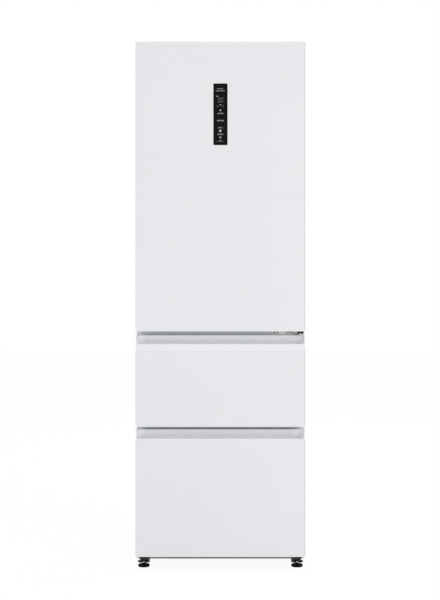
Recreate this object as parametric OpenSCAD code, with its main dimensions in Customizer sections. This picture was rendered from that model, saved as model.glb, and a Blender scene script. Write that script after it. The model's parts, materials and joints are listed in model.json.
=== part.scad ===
// Free-standing fridge freezer: one hinged fridge door above two freezer drawers.
// Millimetres, Z up, the fronts towards -Y, the origin on the floor under the middle.

/* [Cabinet] */
// Width of the cabinet and of its three fronts
cabinet_w = 595; // [560:1:640]
// Depth of the cabinet behind the fronts
cabinet_d = 590; // [570:1:640]
// Sheet steel of the cabinet and of the fronts
sheet_t = 1; // [0.8:0.1:1.2]
// Underside of the base pan above the floor
pan_z = 32; // [31:0.5:35]
// How far the door stands above the top of the cabinet
door_over = 7; // [6.5:0.5:9]
// Width of the steel flange round the front of the cabinet
flange_w = 34; // [32:1:38]
// Insulated side wall beside the fridge cavity
fridge_wall = 48; // [44:1:54]
// Insulated side wall beside the freezer cavity
freezer_wall = 60; // [56:1:66]
// Insulated top wall
top_wall = 48; // [44:1:56]
// Insulated rear wall
rear_wall = 56; // [50:1:64]
// Wall of the moulded inner linings
liner_t = 2; // [1.5:0.5:2.5]

/* [Fronts] */
// Thickness of the door and of the drawer fronts
front_t = 54; // [52:1:60]
// Space between the fronts and the cabinet, which the gaskets fill
seal_gap = 12; // [11:0.5:14]
// Lower edge of the lower drawer front above the floor
front_z = 52; // [50:1:58]
// Height of the lower drawer's painted skin
lower_skin_h = 409; // [395:1:430]
// Height of the lower handle's lip above the skin
lower_lip_h = 5.5; // [5.5:0.5:10]
// Gap between the lower and the middle front
lower_gap = 12.5; // [10:0.5:16]
// Height of the middle drawer's painted skin
middle_skin_h = 269; // [250:1:300]
// Height of the middle handle's lip above the skin
middle_lip_h = 22; // [16:0.5:26]
// Gap between the middle front and the door, where the hinge lies
middle_gap = 14.6; // [14:0.1:18]
// Height of the door
door_h = 1013.8; // [980:0.1:1060]
// Radius of the fronts' upright edges
edge_r = 3; // [2:0.5:5]
// Radius of the skins' lower corners
corner_r = 5; // [2:1:8]
// Distance of the gaskets from the edges of the fronts
gasket_inset = 16; // [15:0.5:18]
// Width of the gaskets
gasket_w = 14; // [12:0.5:15]

/* [Handle caps] */
// Height of the scoop's rear wall above the lip
scoop_rise = 28.3; // [24:0.1:34]
// Set-back of the scoop's rear wall from the front
scoop_d = 35; // [33:1:40]
// Thickness of the lip that the fingers pull
lip_t = 11; // [10:0.5:13]
// Depth of the finger trench below the lip's top
trench_h = 26; // [24:1:30]
// Thickness of the scoop's end walls
end_wall = 3.5; // [3:0.5:6]
// Radius of the scoop's rear corners
scoop_r = 25; // [15:1:30]
// Radius where the lip meets the end walls
lip_corner_r = 10; // [5:1:14]

/* [Display] */
// Width of the display glass
display_w = 49.2; // [40:0.2:60]
// Height of the display glass
display_h = 215.5; // [180:0.5:240]
// Top of the display below the top of the door
display_drop = 146.3; // [120:0.1:180]
// Corner radius of the display glass
display_r = 3.5; // [2:0.5:6]

/* [Hinges] */
// Distance of the hinge axis from the side of the door
hinge_x = 15; // [14:0.5:16]
// Distance of the hinge axis behind the front of the door
hinge_y = 30; // [28:0.5:32]
// Radius of the hinge pins
hinge_pin_r = 4; // [3.5:0.1:4.5]
// Radial clearance of every pin and shaft in its bore
fit = 0.05; // [0.03:0.01:0.08]
// Space between the middle drawer's cap and the arm of the middle hinge
arm_gap = 1.4; // [1:0.1:1.6]
// Thickness of the hinge plates
hinge_t = 3; // [2.5:0.1:3]

/* [Drawers] */
// Clear space between the runners and the evaporator cover
runner_gap = 20; // [16:1:26]
// Height of the outer runner channel
runner_h = 45; // [40:1:50]
// Axis of the lower runners above the floor
lower_runner_z = 400; // [395:1:405]
// Axis of the middle runners above the floor
middle_runner_z = 600; // [590:1:610]
// Gap between pieces that slide or turn past each other
slide_gap = 0.3; // [0.3:0.05:0.5]
// Wall of the baskets and of the crisper
basket_t = 2.5; // [2:0.5:3]

/* [Fridge interior] */
// Thickness of the glass shelves
glass_t = 4; // [3:0.5:5]
// Number of glass shelves
shelf_count = 3; // [2:1:4]
// Height of the crisper
crisper_h = 205; // [180:1:220]
// Height of the chill drawer
chill_h = 105; // [90:1:120]
// Distance of the shelves behind the cabinet's front flange
shelf_setback = 114; // [112:1:125]
// Distance of the crisper's front behind the cabinet's front flange
crisper_setback = 132; // [132:1:140]
// Height of the bottle shelf in the door
bottle_h = 105; // [90:1:120]
// Height of the middle door shelf's floor above the foot of the door lining
middle_bin_rise = 352; // [320:1:380]
// Height of the upper door shelf's floor above the foot of the door lining
upper_bin_rise = 632; // [600:1:680]
// Height of the upper door shelves
bin_h = 78; // [60:1:90]
// Depth of the door shelves
bin_d = 109; // [90:1:110]

/* [Cooling] */
// Depth of the compressor space
machine_d = 220; // [210:1:230]
// Roof of the compressor space above the floor
machine_z = 265; // [260:1:275]
// Distance of the compressor from the side of the cabinet
compressor_side = 177.5; // [172:0.5:185]
// Radius of the compressor's shell
compressor_r = 80; // [70:1:85]
// Radius of the evaporator fan
fan_r = 50; // [40:1:55]
// Height of the evaporator
evap_h = 190; // [170:1:200]
// Number of fins on the evaporator
fin_count = 16; // [8:1:20]
// Number of slots in one row of the rear grille
grille_slots = 9; // [6:1:12]

/* [Feet] */
// Radius of the foot pads
foot_r = 20.5; // [16:0.5:21]
// Distance of the feet from the sides
foot_x = 24.2; // [22:0.1:30]
// Distance of the feet behind the fronts
foot_y = 88; // [86:1:100]
// Radius of the levelling wheels
wheel_r = 21.2; // [18:0.2:22]
// Radius of the levelling screws
screw_r = 4; // [3:0.5:5]
// Radius of the rear rollers
roller_r = 15; // [13:0.5:15.5]
// Distance of the rollers from the sides
roller_x = 50; // [40:1:60]
// Distance of the rollers from the back
roller_y = 45; // [35:1:55]

/* [Hidden] */
$fn = 64;
half_w = cabinet_w / 2;
rib_h = 4;
front_y = -(front_t + seal_gap + cabinet_d + rib_h) / 2;
panel_y = front_y + front_t;
flange_y = panel_y + seal_gap;
back_y = flange_y + cabinet_d;
lower_top = front_z + lower_skin_h;
lower_lip = lower_top + lower_lip_h;
lower_cap_top = lower_lip + scoop_rise;
middle_z = lower_cap_top + lower_gap;
middle_top = middle_z + middle_skin_h;
middle_lip = middle_top + middle_lip_h;
middle_cap_top = middle_lip + scoop_rise;
door_z = middle_cap_top + middle_gap;
door_top = door_z + door_h;
cabinet_top = door_top - door_over;

// Rails across the cabinet front, which the gaskets close on
rail_margin = 1;
cap_seal_drop = 12;
rail_half = half_w - 19;
freezer_rail = [lower_cap_top - cap_seal_drop - gasket_w - rail_margin,
                middle_z + gasket_inset + gasket_w + rail_margin];
fridge_rail = [middle_cap_top - cap_seal_drop - gasket_w - rail_margin,
               door_z + gasket_inset + gasket_w + rail_margin];
rail_d = 42;
shell_r = 4;
leg_w = 12;

// Cavities
pan_t = 2;
shell_z = pan_z + pan_t;
deck_z = shell_z + 6;
sill_z = front_z + gasket_inset + gasket_w + rail_margin;
freezer_half = half_w - freezer_wall;
freezer_floor = sill_z + 12;
freezer_roof = fridge_rail[0];
fridge_half = half_w - fridge_wall;
fridge_floor = fridge_rail[1];
fridge_roof = cabinet_top - top_wall;
cavity_back = back_y - rear_wall;
machine_y = back_y - machine_d;
step_y = machine_y - 50;
step_z = machine_z + 50;
cavity_r = 14;
lip_w = 4;

// Fridge fittings
duct_d = 25;
duct_y = cavity_back - duct_d;
shelf_y = flange_y + shelf_setback;
crisper_y = flange_y + crisper_setback;
ledge_d = 8;
ledge_h = 8;
crisper_lid_z = fridge_floor + slide_gap + crisper_h + 16;
chill_z = crisper_lid_z + glass_t + slide_gap;
chill_lid_z = chill_z + chill_h + 8;
shelf_pitch = (fridge_roof - chill_lid_z - glass_t) / (shelf_count + 1);
shelf_levels = [for (i = [1:shelf_count]) chill_lid_z + i * shelf_pitch];
lid_levels = [crisper_lid_z, chill_lid_z];

// Freezer fittings
evap_space = 105;
cover_y = cavity_back - evap_space;
fan_z = freezer_roof - 85;
runner_y = flange_y + 9;
runner_l = cover_y - runner_gap - runner_y;
basket_half = freezer_half - 29;
hook_gap = 2;

// Door
cap_h = 15;
seat_h = 3;
hinge_at = [half_w - hinge_x, front_y + hinge_y];
pocket_z = cabinet_top - 2;
arm_r = 11.5;
dike_half = freezer_half;
dike_t = 14;
dike_d = 50;
dike_z = [fridge_floor + 16, fridge_roof - 15];
bin_half = dike_half - dike_t;
dike_r = dike_t + 2;
bin_levels = [dike_z[0] + dike_t + 3, dike_z[0] + middle_bin_rise, dike_z[0] + upper_bin_rise];

// Handle caps
cap_half = half_w - 1.5;
cap_wall = 3;
tub_h = trench_h + cap_wall;
trench_r = (scoop_d - lip_t) / 2;

// Runner channels: sheet, and the reach of each member from the lining
channel_t = 1.5;
outer_d = 12;
outer_lip = 3.5;

// Feet
foot_at = [half_w - foot_x, panel_y - front_t + foot_y];
pad_h = 8;
neck_h = 4;
wheel_z = [16.5, 22];
socket_h = 6;
roller_at = [half_w - roller_x, back_y - roller_y];
roller_l = 22;
axle_r = 5;

// Draws a Y-Z outline and runs it along X
module along_x(x0, x1) {
    translate([x0, 0, 0]) rotate([90, 0, 90]) linear_extrude(x1 - x0) children();
}

// Draws an X-Z outline and runs it along Y
module along_y(y0, y1) {
    translate([0, y1, 0]) rotate([90, 0, 0]) linear_extrude(y1 - y0) children();
}

// Draws an X-Y outline and runs it along Z
module along_z(z0, z1) {
    translate([0, 0, z0]) linear_extrude(z1 - z0) children();
}

module both_sides() {
    children();
    mirror([1, 0, 0]) children();
}

// A box from its low corner to its high corner
module block(low, high) {
    translate(low) cube(high - low);
}

// A rectangle centred on X, with its low and high ends rounded by r0 and r1
module outline(w, v0, v1, r0 = 0, r1 = 0) {
    if (v1 - v0 > r0 + r1) translate([-w / 2, v0 + r0]) square([w, v1 - v0 - r0 - r1]);
    if (r0 > 0) {
        translate([-w / 2 + r0, v0]) square([w - 2 * r0, 2 * r0]);
        for (side = [-1, 1]) translate([side * (w / 2 - r0), v0 + r0]) circle(r0);
    }
    if (r1 > 0) {
        translate([-w / 2 + r1, v1 - 2 * r1]) square([w - 2 * r1, 2 * r1]);
        for (side = [-1, 1]) translate([side * (w / 2 - r1), v1 - r1]) circle(r1);
    }
}

// A frame of one band width, with round corners
module band(w, v0, v1, b, r) {
    difference() {
        outline(w, v0, v1, r, r);
        outline(w - 2 * b, v0 + b, v1 - b, max(r - b, 1), max(r - b, 1));
    }
}

// An open box with round upright corners
module tub(w, y0, y1, z0, z1, t, r) {
    difference() {
        along_z(z0, z1) outline(w, y0, y1, r, r);
        along_z(z0 + t, z1 + 1) outline(w - 2 * t, y0 + t, y1 - t, r - t, r - t);
    }
}

module cabinet_shell() {
    color("gainsboro") difference() {
        union() {
            along_y(flange_y, back_y) difference() {
                outline(cabinet_w, pan_z, cabinet_top, 0, shell_r);
                outline(cabinet_w - 2 * sheet_t, pan_z - 1, cabinet_top - sheet_t, 0, shell_r - sheet_t);
            }
            along_y(flange_y, flange_y + sheet_t) difference() {
                outline(cabinet_w, deck_z + pan_t, cabinet_top, 0, shell_r);
                outline(cabinet_w - 2 * flange_w, sill_z, cabinet_top - flange_w);
            }
            // the flange runs down past the ends of the apron
            both_sides() block([half_w - leg_w, flange_y, pan_z],
                               [half_w, flange_y + sheet_t, deck_z + pan_t + 1]);
        }
        for (rail = [freezer_rail, fridge_rail])
            block([-rail_half, flange_y - 1, rail[0]], [rail_half, flange_y + sheet_t + 1, rail[1]]);
    }
}

module rear_panel() {
    rib_count = 4;
    pitch = (cabinet_w - 120) / (rib_count - 1);
    color("lightgrey") {
        along_y(back_y - sheet_t, back_y)
            outline(cabinet_w - 2 * sheet_t, machine_z + sheet_t, cabinet_top - sheet_t, 0, shell_r);
        for (i = [0:rib_count - 1])
            along_z(machine_z + 60, cabinet_top - 60)
                translate([-half_w + 60 + i * pitch, back_y]) intersection() {
                    translate([0, rib_h - 12]) circle(12);
                    translate([-12, 0]) square([24, rib_h]);
                }
    }
}

// The bent sheet under the freezer that also walls and roofs the compressor space
module bottom_deck() {
    color("silver") along_x(-half_w + sheet_t, half_w - sheet_t) {
        translate([flange_y + pan_t, deck_z]) square([machine_y - flange_y - pan_t, pan_t]);
        translate([machine_y - pan_t, deck_z]) square([pan_t, machine_z - deck_z]);
        translate([machine_y - pan_t, machine_z - pan_t]) square([machine_d, pan_t]);
    }
}

module base_pan() {
    cheek_t = 3;
    cheek_half = 14;
    joist_w = 30;
    joist_side = 117.5;
    joist_x = half_w - joist_side;
    apron_h = deck_z + pan_t - pan_z - 1;
    color("dimgray") {
        difference() {
            union() {
                block([-half_w + sheet_t, flange_y + sheet_t, pan_z], [half_w - sheet_t, back_y, shell_z]);
                block([-half_w + leg_w, flange_y, pan_z],
                      [half_w - leg_w, flange_y + pan_t, pan_z + apron_h]);
                // joists that carry the deck
                for (x = [-joist_x, 0, joist_x])
                    block([x - joist_w / 2, flange_y + 40, shell_z],
                          [x + joist_w / 2, machine_y - 20, deck_z]);
            }
            both_sides() translate([foot_at[0], foot_at[1], pan_z - 1]) cylinder(r = screw_r + 1.5, h = 10);
        }
        // roller cheeks with their axles
        both_sides() for (side = [-1, 1])
            translate([roller_at[0] + side * (roller_l / 2 + cheek_t / 2 + 1), roller_at[1], 0])
                along_x(-cheek_t / 2, cheek_t / 2) {
                    translate([-cheek_half, roller_r]) square([2 * cheek_half, pan_z - roller_r]);
                    translate([0, roller_r]) circle(9);
                }
        both_sides() translate([roller_at[0], roller_at[1], roller_r])
            rotate([0, 90, 0]) cylinder(r = axle_r, h = roller_l + 2 + 2 * cheek_t, center = true);
    }
}

module fridge_space(grow) {
    along_y(flange_y - 10, cavity_back + grow)
        outline(2 * (fridge_half + grow), fridge_floor - grow, fridge_roof + grow,
                cavity_r + grow, cavity_r + grow);
}

module freezer_space(grow) {
    r = cavity_r + grow;
    along_y(flange_y - 10, step_y + grow)
        outline(2 * (freezer_half + grow), freezer_floor - grow, freezer_roof + grow, r, r);
    along_y(flange_y - 10, cavity_back + grow)
        outline(2 * (freezer_half + grow), step_z - grow, freezer_roof + grow, r, r);
}

module insulation() {
    color("khaki") difference() {
        along_y(flange_y + sheet_t + liner_t, back_y - sheet_t)
            outline(cabinet_w - 2 * sheet_t, deck_z + pan_t, cabinet_top - sheet_t, 0, shell_r);
        block([-half_w, machine_y - pan_t, 0], [half_w, back_y, machine_z]);
        fridge_space(liner_t);
        freezer_space(liner_t);
    }
}

// Front lip of a lining between low and high, which tucks behind the steel flange
module liner_lip(half, z0, z1, low, high) {
    along_y(flange_y + sheet_t, flange_y + sheet_t + liner_t) difference() {
        outline(2 * (half_w - flange_w + lip_w), low, high);
        outline(2 * half, z0, z1, cavity_r, cavity_r);
    }
}

module fridge_liner() {
    ledge_root = 1;
    color("whitesmoke") {
        difference() {
            fridge_space(liner_t);
            fridge_space(0);
            block([-half_w, flange_y - 20, 0], [half_w, flange_y + sheet_t, door_top]);
        }
        liner_lip(fridge_half, fridge_floor, fridge_roof, fridge_floor - 1, cabinet_top - flange_w + lip_w);
        both_sides() for (z = concat(shelf_levels, lid_levels))
            block([fridge_half - ledge_d, shelf_y, z - ledge_h],
                  [fridge_half + ledge_root, duct_y - 5, z]);
    }
}

module freezer_liner() {
    color("whitesmoke") {
        difference() {
            freezer_space(liner_t);
            freezer_space(0);
            block([-half_w, flange_y - 20, 0], [half_w, flange_y + sheet_t, door_top]);
        }
        liner_lip(freezer_half, freezer_floor, freezer_roof, sill_z - lip_w, freezer_roof + 1);
    }
}

// A folded cross rail: its face closes the front and its box runs back into the cavity
module cross_rail(rail, box_half) {
    difference() {
        union() {
            block([-rail_half, flange_y, rail[0]], [rail_half, flange_y + sheet_t, rail[1]]);
            block([-box_half, flange_y, rail[0]], [box_half, flange_y + rail_d, rail[1]]);
        }
        block([-box_half - 1, flange_y + sheet_t, rail[0] + sheet_t],
              [box_half + 1, flange_y + rail_d + 1, rail[1] - sheet_t]);
    }
}

module mullion_rails() {
    color("slategray") {
        cross_rail(freezer_rail, freezer_half);
        difference() {
            block([-rail_half, flange_y, fridge_rail[0]], [rail_half, flange_y + sheet_t, fridge_rail[1]]);
            hook_holes();
        }
    }
}

module air_duct() {
    duct_half = 95;
    wall = 2.5;
    top = fridge_roof - 12;
    low = chill_lid_z + glass_t + 6;
    color("white") difference() {
        along_z(low, top) outline(2 * duct_half, duct_y, cavity_back, 10, 0);
        along_z(low + wall, top - wall)
            outline(2 * (duct_half - wall), duct_y + wall, cavity_back + 1, 10 - wall, 0);
        for (z = [for (i = [0:shelf_count]) chill_lid_z + (i + 0.55) * shelf_pitch])
            for (x = [-60, 0, 60])
                block([x - 22, duct_y - 1, z - 4], [x + 22, duct_y + wall + 1, z + 4]);
    }
}

module light_cover() {
    color("white") along_y(flange_y + 50, flange_y + 150) intersection() {
        translate([0, fridge_roof + 72]) circle(80);
        translate([-60, fridge_roof - 8]) square([120, 8]);
    }
}

module glass_shelves() {
    trim_d = 9;
    color("lightblue", 0.5) for (z = shelf_levels)
        block([-fridge_half + 2.5, shelf_y + trim_d, z], [fridge_half - 2.5, duct_y - trim_d, z + glass_t]);
}

// Moulded front and rear edges of the glass shelves
module shelf_trims() {
    trim_d = 9;
    color("white") for (z = shelf_levels) {
        along_x(-fridge_half + 2.5, fridge_half - 2.5) difference() {
            union() {
                translate([shelf_y + 6, z + glass_t / 2]) circle(6);
                translate([shelf_y + 6, z - 4 + glass_t / 2]) square([trim_d + 3, 8]);
            }
            translate([shelf_y, z - 12]) square([40, 12]);
            translate([shelf_y + trim_d, z]) square([40, glass_t]);
        }
        block([-fridge_half + 2.5, duct_y - trim_d, z], [fridge_half - 2.5, duct_y - 0.5, z + 14]);
    }
}

module drawer_lids() {
    color("lightblue", 0.6) for (z = lid_levels)
        difference() {
            block([-fridge_half + 1.5, crisper_y - 4, z], [fridge_half - 1.5, duct_y - 1, z + glass_t]);
            block([-fridge_half, crisper_y - 6, z + glass_t - 1.2],
                  [fridge_half, crisper_y - 1, z + glass_t + 1]);
        }
}

// A see-through drawer with a curled handle lip and room to slide
module fridge_drawer(half, z0, z1, r) {
    lip = 14;
    back = duct_y - 6;
    difference() {
        union() {
            along_z(z0, z1) outline(2 * half, crisper_y, back, r, r);
            along_x(-half + 60, half - 60) translate([crisper_y - 1, z1 - lip]) square([3, lip]);
        }
        along_z(z0 + basket_t, z1 + 1)
            outline(2 * (half - basket_t), crisper_y + basket_t, back - basket_t, r - basket_t, r - basket_t);
        along_x(-half + 75, half - 75) translate([crisper_y + basket_t, z1]) circle(16);
    }
}

module crisper() {
    color("aliceblue", 0.7)
        fridge_drawer(fridge_half - cavity_r - 2, fridge_floor + slide_gap,
                      fridge_floor + slide_gap + crisper_h, 12);
}

module chill_drawer() {
    color("aliceblue", 0.7)
        fridge_drawer(fridge_half - cavity_r - 2, chill_z, chill_z + chill_h, 12);
}

module evaporator_cover() {
    t = 3;
    half = freezer_half - 1;
    color("white") difference() {
        union() {
            along_y(cover_y, cover_y + t)
                outline(2 * half, step_z, freezer_roof - 1, cavity_r - 1, cavity_r - 1);
            both_sides() block([half - t, cover_y, step_z + cavity_r],
                               [half, cavity_back, freezer_roof - 1 - cavity_r]);
        }
        // ring of fan slots
        for (a = [0:30:330])
            translate([0, cover_y, fan_z]) rotate([0, a, 0])
                block([-4, -1, 16], [4, t + 1, fan_r - 4]);
        // air return at the foot
        for (i = [-5:5])
            block([i * 38 - 13, cover_y - 1, step_z + 12], [i * 38 + 13, cover_y + t + 1, step_z + 20]);
    }
}

module evaporator() {
    fin_half = freezer_half - 47.5;
    low = step_z + 45;
    high = low + evap_h;
    near = cover_y + 20;
    far = cavity_back - 12;
    tube_r = 4;
    color("silver") union() {
        for (i = [0:fin_count - 1])
            translate([-fin_half + i * 2 * fin_half / (fin_count - 1), 0, 0])
                block([-0.5, near, low], [0.5, far, high]);
        for (z = [low + 20:37.5:high]) for (y = [near + 18, far - 18])
            translate([0, y, z]) rotate([0, 90, 0])
                cylinder(r = tube_r, h = 2 * fin_half + 24, center = true);
        // end plates that hang the coil on the lining
        both_sides() block([fin_half + 4, near, low - 10], [fin_half + 6, cavity_back, high + 10]);
    }
}

module fan_motor() {
    color("dimgray") translate([0, cover_y + 3, fan_z]) {
        rotate([-90, 0, 0]) translate([0, 0, 44]) cylinder(r = 24, h = 30);
        rotate([-90, 0, 0]) translate([0, 0, 10]) cylinder(r = 3, h = 40);
        for (a = [45:90:315]) rotate([0, a, 0]) {
            block([-3, 56, 20], [3, 60, fan_r + 12]);
            block([-3, 0, fan_r + 6], [3, 60, fan_r + 12]);
        }
    }
}

module fan_blade() {
    blades = 5;
    color("white") translate([0, cover_y + 3, fan_z]) rotate([-90, 0, 0]) difference() {
        union() {
            translate([0, 0, 15]) cylinder(r = 14, h = 22);
            for (i = [0:blades - 1]) rotate([0, 0, i * 360 / blades])
                translate([0, 0, 26]) rotate([28, 0, 0]) block([10, -14, -0.8], [fan_r - 2, 14, 0.8]);
        }
        translate([0, 0, 14]) cylinder(r = 3 + fit, h = 24);
    }
}

compressor_at = [half_w - compressor_side, machine_y + machine_d / 2 - 4];
mount_x = 78;
mount_y = 58;
mount_h = 14;
compressor_h = 125;

module compressor() {
    color("#202124") translate([compressor_at[0], compressor_at[1], shell_z + mount_h]) {
        difference() {
            block([-mount_x - 14, -mount_y - 12, 0], [mount_x + 14, mount_y + 12, 3]);
            for (x = [-mount_x, mount_x], y = [-mount_y, mount_y])
                translate([x, y, -1]) cylinder(r = 6, h = 5);
        }
        translate([0, 0, 2]) rotate_extrude() {
            square([compressor_r - 18, compressor_h]);
            translate([0, 12]) square([compressor_r - 4, compressor_h - 34]);
            translate([0, 50]) square([compressor_r, 8]);
            intersection() {
                translate([compressor_r - 26, compressor_h - 22]) circle(22);
                translate([0, compressor_h - 22]) square([compressor_r, 22]);
            }
        }
        // relay box and pipe stubs
        block([compressor_r - 10, -24, 30], [compressor_r + 14, 24, 82]);
        for (a = [150, 190]) rotate([0, 0, a]) translate([compressor_r - 14, 0, 62])
            rotate([0, 90, 0]) cylinder(r = 4, h = 34);
    }
}

module compressor_mounts() {
    color("#303030") for (x = [-mount_x, mount_x], y = [-mount_y, mount_y])
        translate([compressor_at[0] + x, compressor_at[1] + y, shell_z]) rotate_extrude() {
            square([11, mount_h]);
            square([6, mount_h + 5]);
            translate([0, mount_h + 3]) square([9, 4]);
        }
}

// A tube that runs to and fro, held by two upright strips
module condenser_coil() {
    passes = 7;
    pitch = 26;
    left = -half_w + 60;
    right = -20;
    low = shell_z + 20;
    tube_r = 3.5;
    strap_in = 30;
    color("#3a3a3a") translate([0, machine_y + 90, low]) {
        union() {
            for (i = [0:passes - 1]) translate([left, 0, i * pitch])
                rotate([0, 90, 0]) cylinder(r = tube_r, h = right - left);
            for (i = [0:passes - 2]) translate([i % 2 == 0 ? right : left, 0, (i + 0.5) * pitch])
                rotate([90, 0, 0]) rotate([0, 0, i % 2 == 0 ? -90 : 90])
                    rotate_extrude(angle = 180) translate([pitch / 2, 0]) circle(tube_r);
        }
        for (x = [left + strap_in, right - strap_in])
            block([x - 6, 1, shell_z - low], [x + 6, 7, (passes - 1) * pitch + 10]);
    }
}

module drip_tray() {
    z = shell_z + mount_h + compressor_h + 2;
    tray_half = compressor_r + 5;
    tray_d = 2 * compressor_r - 10;
    color("white") translate([compressor_at[0], 0, 0])
        tub(2 * tray_half, compressor_at[1] - tray_d / 2, compressor_at[1] + tray_d / 2, z, z + 26, 2, 12);
}

module compressor_cover() {
    t = 1.5;
    half = half_w - 3;
    low = shell_z;
    high = machine_z;
    rows = 5;
    pitch = (2 * half - 40) / grille_slots;
    color("lightgrey") difference() {
        block([-half, back_y - t, low], [half, back_y, high]);
        for (row = [0:rows - 1], i = [0:grille_slots - 1])
            along_y(back_y - t - 1, back_y + 1)
                translate([-half + 20 + (i + 0.5) * pitch, low + 70 + row * 26])
                    outline(pitch - 16, 0, 8, 4, 4);
    }
}

// One runner channel, open towards the drawer, drawn from the lining inwards
module channel(reach0, reach1, half_h, lip) {
    difference() {
        translate([reach0, -half_h]) square([reach1 - reach0, 2 * half_h]);
        translate([reach0 + channel_t, -half_h + channel_t])
            square([reach1 - reach0 - 2 * channel_t, 2 * (half_h - channel_t)]);
        translate([reach1 - channel_t - 1, -half_h + channel_t + lip])
            square([channel_t + 2, 2 * (half_h - channel_t - lip)]);
    }
}

inner_reach = outer_d - 2 * (channel_t + slide_gap);
mid_half_h = runner_h / 2 - channel_t - slide_gap;
in_half_h = mid_half_h - channel_t - slide_gap;
mid_reach0 = channel_t + slide_gap;
mid_reach1 = outer_d - channel_t - slide_gap;
in_reach0 = mid_reach0 + channel_t + slide_gap;
in_reach1 = mid_reach1 - channel_t - slide_gap;
neck_half = mid_half_h - channel_t - outer_lip + 0.5 - slide_gap;

// Places a profile drawn from the lining inwards on both sides, and runs it back
module runner_pair(z, y0, y1) {
    both_sides() translate([freezer_half, y1, z]) rotate([90, 0, 0])
        linear_extrude(y1 - y0) mirror([1, 0]) children();
}

module cabinet_rails() {
    color("silver") for (z = [lower_runner_z, middle_runner_z])
        runner_pair(z, runner_y, runner_y + runner_l) channel(0, outer_d, runner_h / 2, outer_lip);
}

module runner(z) {
    color("silver") runner_pair(z, runner_y, runner_y + runner_l)
        channel(mid_reach0, mid_reach1, mid_half_h, outer_lip - 0.5);
}

// Inner runner members, the brackets that hang on them and the rear tie bar
module carriage(z, plug_y) {
    ledge_z = z - neck_half;
    bracket = outer_d + 4;
    color("silver") {
        runner_pair(z, runner_y, runner_y + runner_l) {
            difference() {
                translate([in_reach0, -in_half_h]) square([in_reach1 - in_reach0, 2 * in_half_h]);
                translate([in_reach0 - 1, -in_half_h + channel_t])
                    square([in_reach1 - in_reach0 + 1 - channel_t, 2 * (in_half_h - channel_t)]);
            }
            translate([in_reach1 - 1, -neck_half]) square([bracket - in_reach1 + 1, 2 * neck_half]);
            translate([bracket - 1, -neck_half]) square([9, 2]);
        }
        both_sides() block([freezer_half - bracket - 8, plug_y, ledge_z - 20],
                           [freezer_half - outer_d - 1, plug_y + 2, z + neck_half]);
        both_sides() block([freezer_half - bracket - 2, plug_y, ledge_z],
                           [freezer_half - outer_d - 1, runner_y + 20, z + neck_half]);
        translate([0, runner_y + runner_l - 6, ledge_z + 4]) rotate([0, 90, 0])
            cylinder(r = 3, h = 2 * (freezer_half - bracket + 1), center = true);
    }
}

// A painted drawer front: a sheet with folded edges and rounded lower corners
module skin(z0, z1) {
    intersection() {
        difference() {
            along_z(z0, z1) outline(cabinet_w, front_y, panel_y, edge_r, 0);
            along_z(z0 + sheet_t, z1 + 1)
                outline(cabinet_w - 2 * sheet_t, front_y + sheet_t, panel_y + 1, edge_r - sheet_t, 0);
        }
        along_y(front_y - 1, panel_y + 1) outline(cabinet_w, z0, z1, corner_r, 0);
    }
}

// The moulded top of a drawer front: lip, finger trench, rear wall and two end walls
module handle_cap(lip_z, lip_h) {
    inner_half = cap_half - end_wall;
    rear_y = front_y + scoop_d;
    translate([0, 0, lip_z]) {
        along_x(-inner_half, inner_half) difference() {
            translate([front_y, -lip_h]) square([front_t, lip_h + scoop_rise]);
            scoop_section();
        }
        along_x(-inner_half, inner_half) difference() {
            translate([front_y + sheet_t, -tub_h]) square([scoop_d + cap_wall - sheet_t, tub_h - lip_h]);
            scoop_section();
        }
        both_sides() {
            // end wall, rounded at its upper front corner
            along_x(inner_half, cap_half) {
                translate([front_y, -lip_h]) square([front_t, lip_h + scoop_rise - 18]);
                translate([front_y + 18, -lip_h]) square([front_t - 18, lip_h + scoop_rise]);
                translate([front_y + 18, scoop_rise - 18]) circle(18);
                translate([front_y + edge_r, -tub_h]) square([scoop_d + cap_wall - edge_r, tub_h]);
            }
            // swept rear corner of the scoop
            along_z(-trench_h, scoop_rise) difference() {
                translate([inner_half - scoop_r, rear_y - scoop_r]) square([scoop_r + 1, scoop_r + 1]);
                translate([inner_half - scoop_r, rear_y - scoop_r]) circle(scoop_r);
            }
            // small radius between lip and end wall
            along_y(front_y + 2, rear_y) difference() {
                translate([inner_half - lip_corner_r, -lip_corner_r / 2])
                    square([lip_corner_r + 1, lip_corner_r * 1.5]);
                translate([inner_half - lip_corner_r, lip_corner_r]) circle(lip_corner_r);
                translate([inner_half - 2 * lip_corner_r, -lip_corner_r])
                    square([2 * lip_corner_r, lip_corner_r]);
            }
        }
    }
}

// What the scoop takes out of the cap, seen from the side with the lip's top at zero
module scoop_section() {
    translate([front_y - 1, 0]) square([scoop_d + 1, scoop_rise + 1]);
    translate([front_y + lip_t, -trench_h + trench_r]) square([scoop_d - lip_t, trench_h]);
    translate([front_y + lip_t + trench_r, -trench_h + trench_r]) circle(trench_r);
    translate([front_y, -lip_t / 2]) difference() {
        translate([-1, 0]) square([lip_t + 1.5, lip_t / 2 + 1]);
        translate([lip_t / 2, 0]) circle(lip_t / 2);
    }
}

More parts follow.
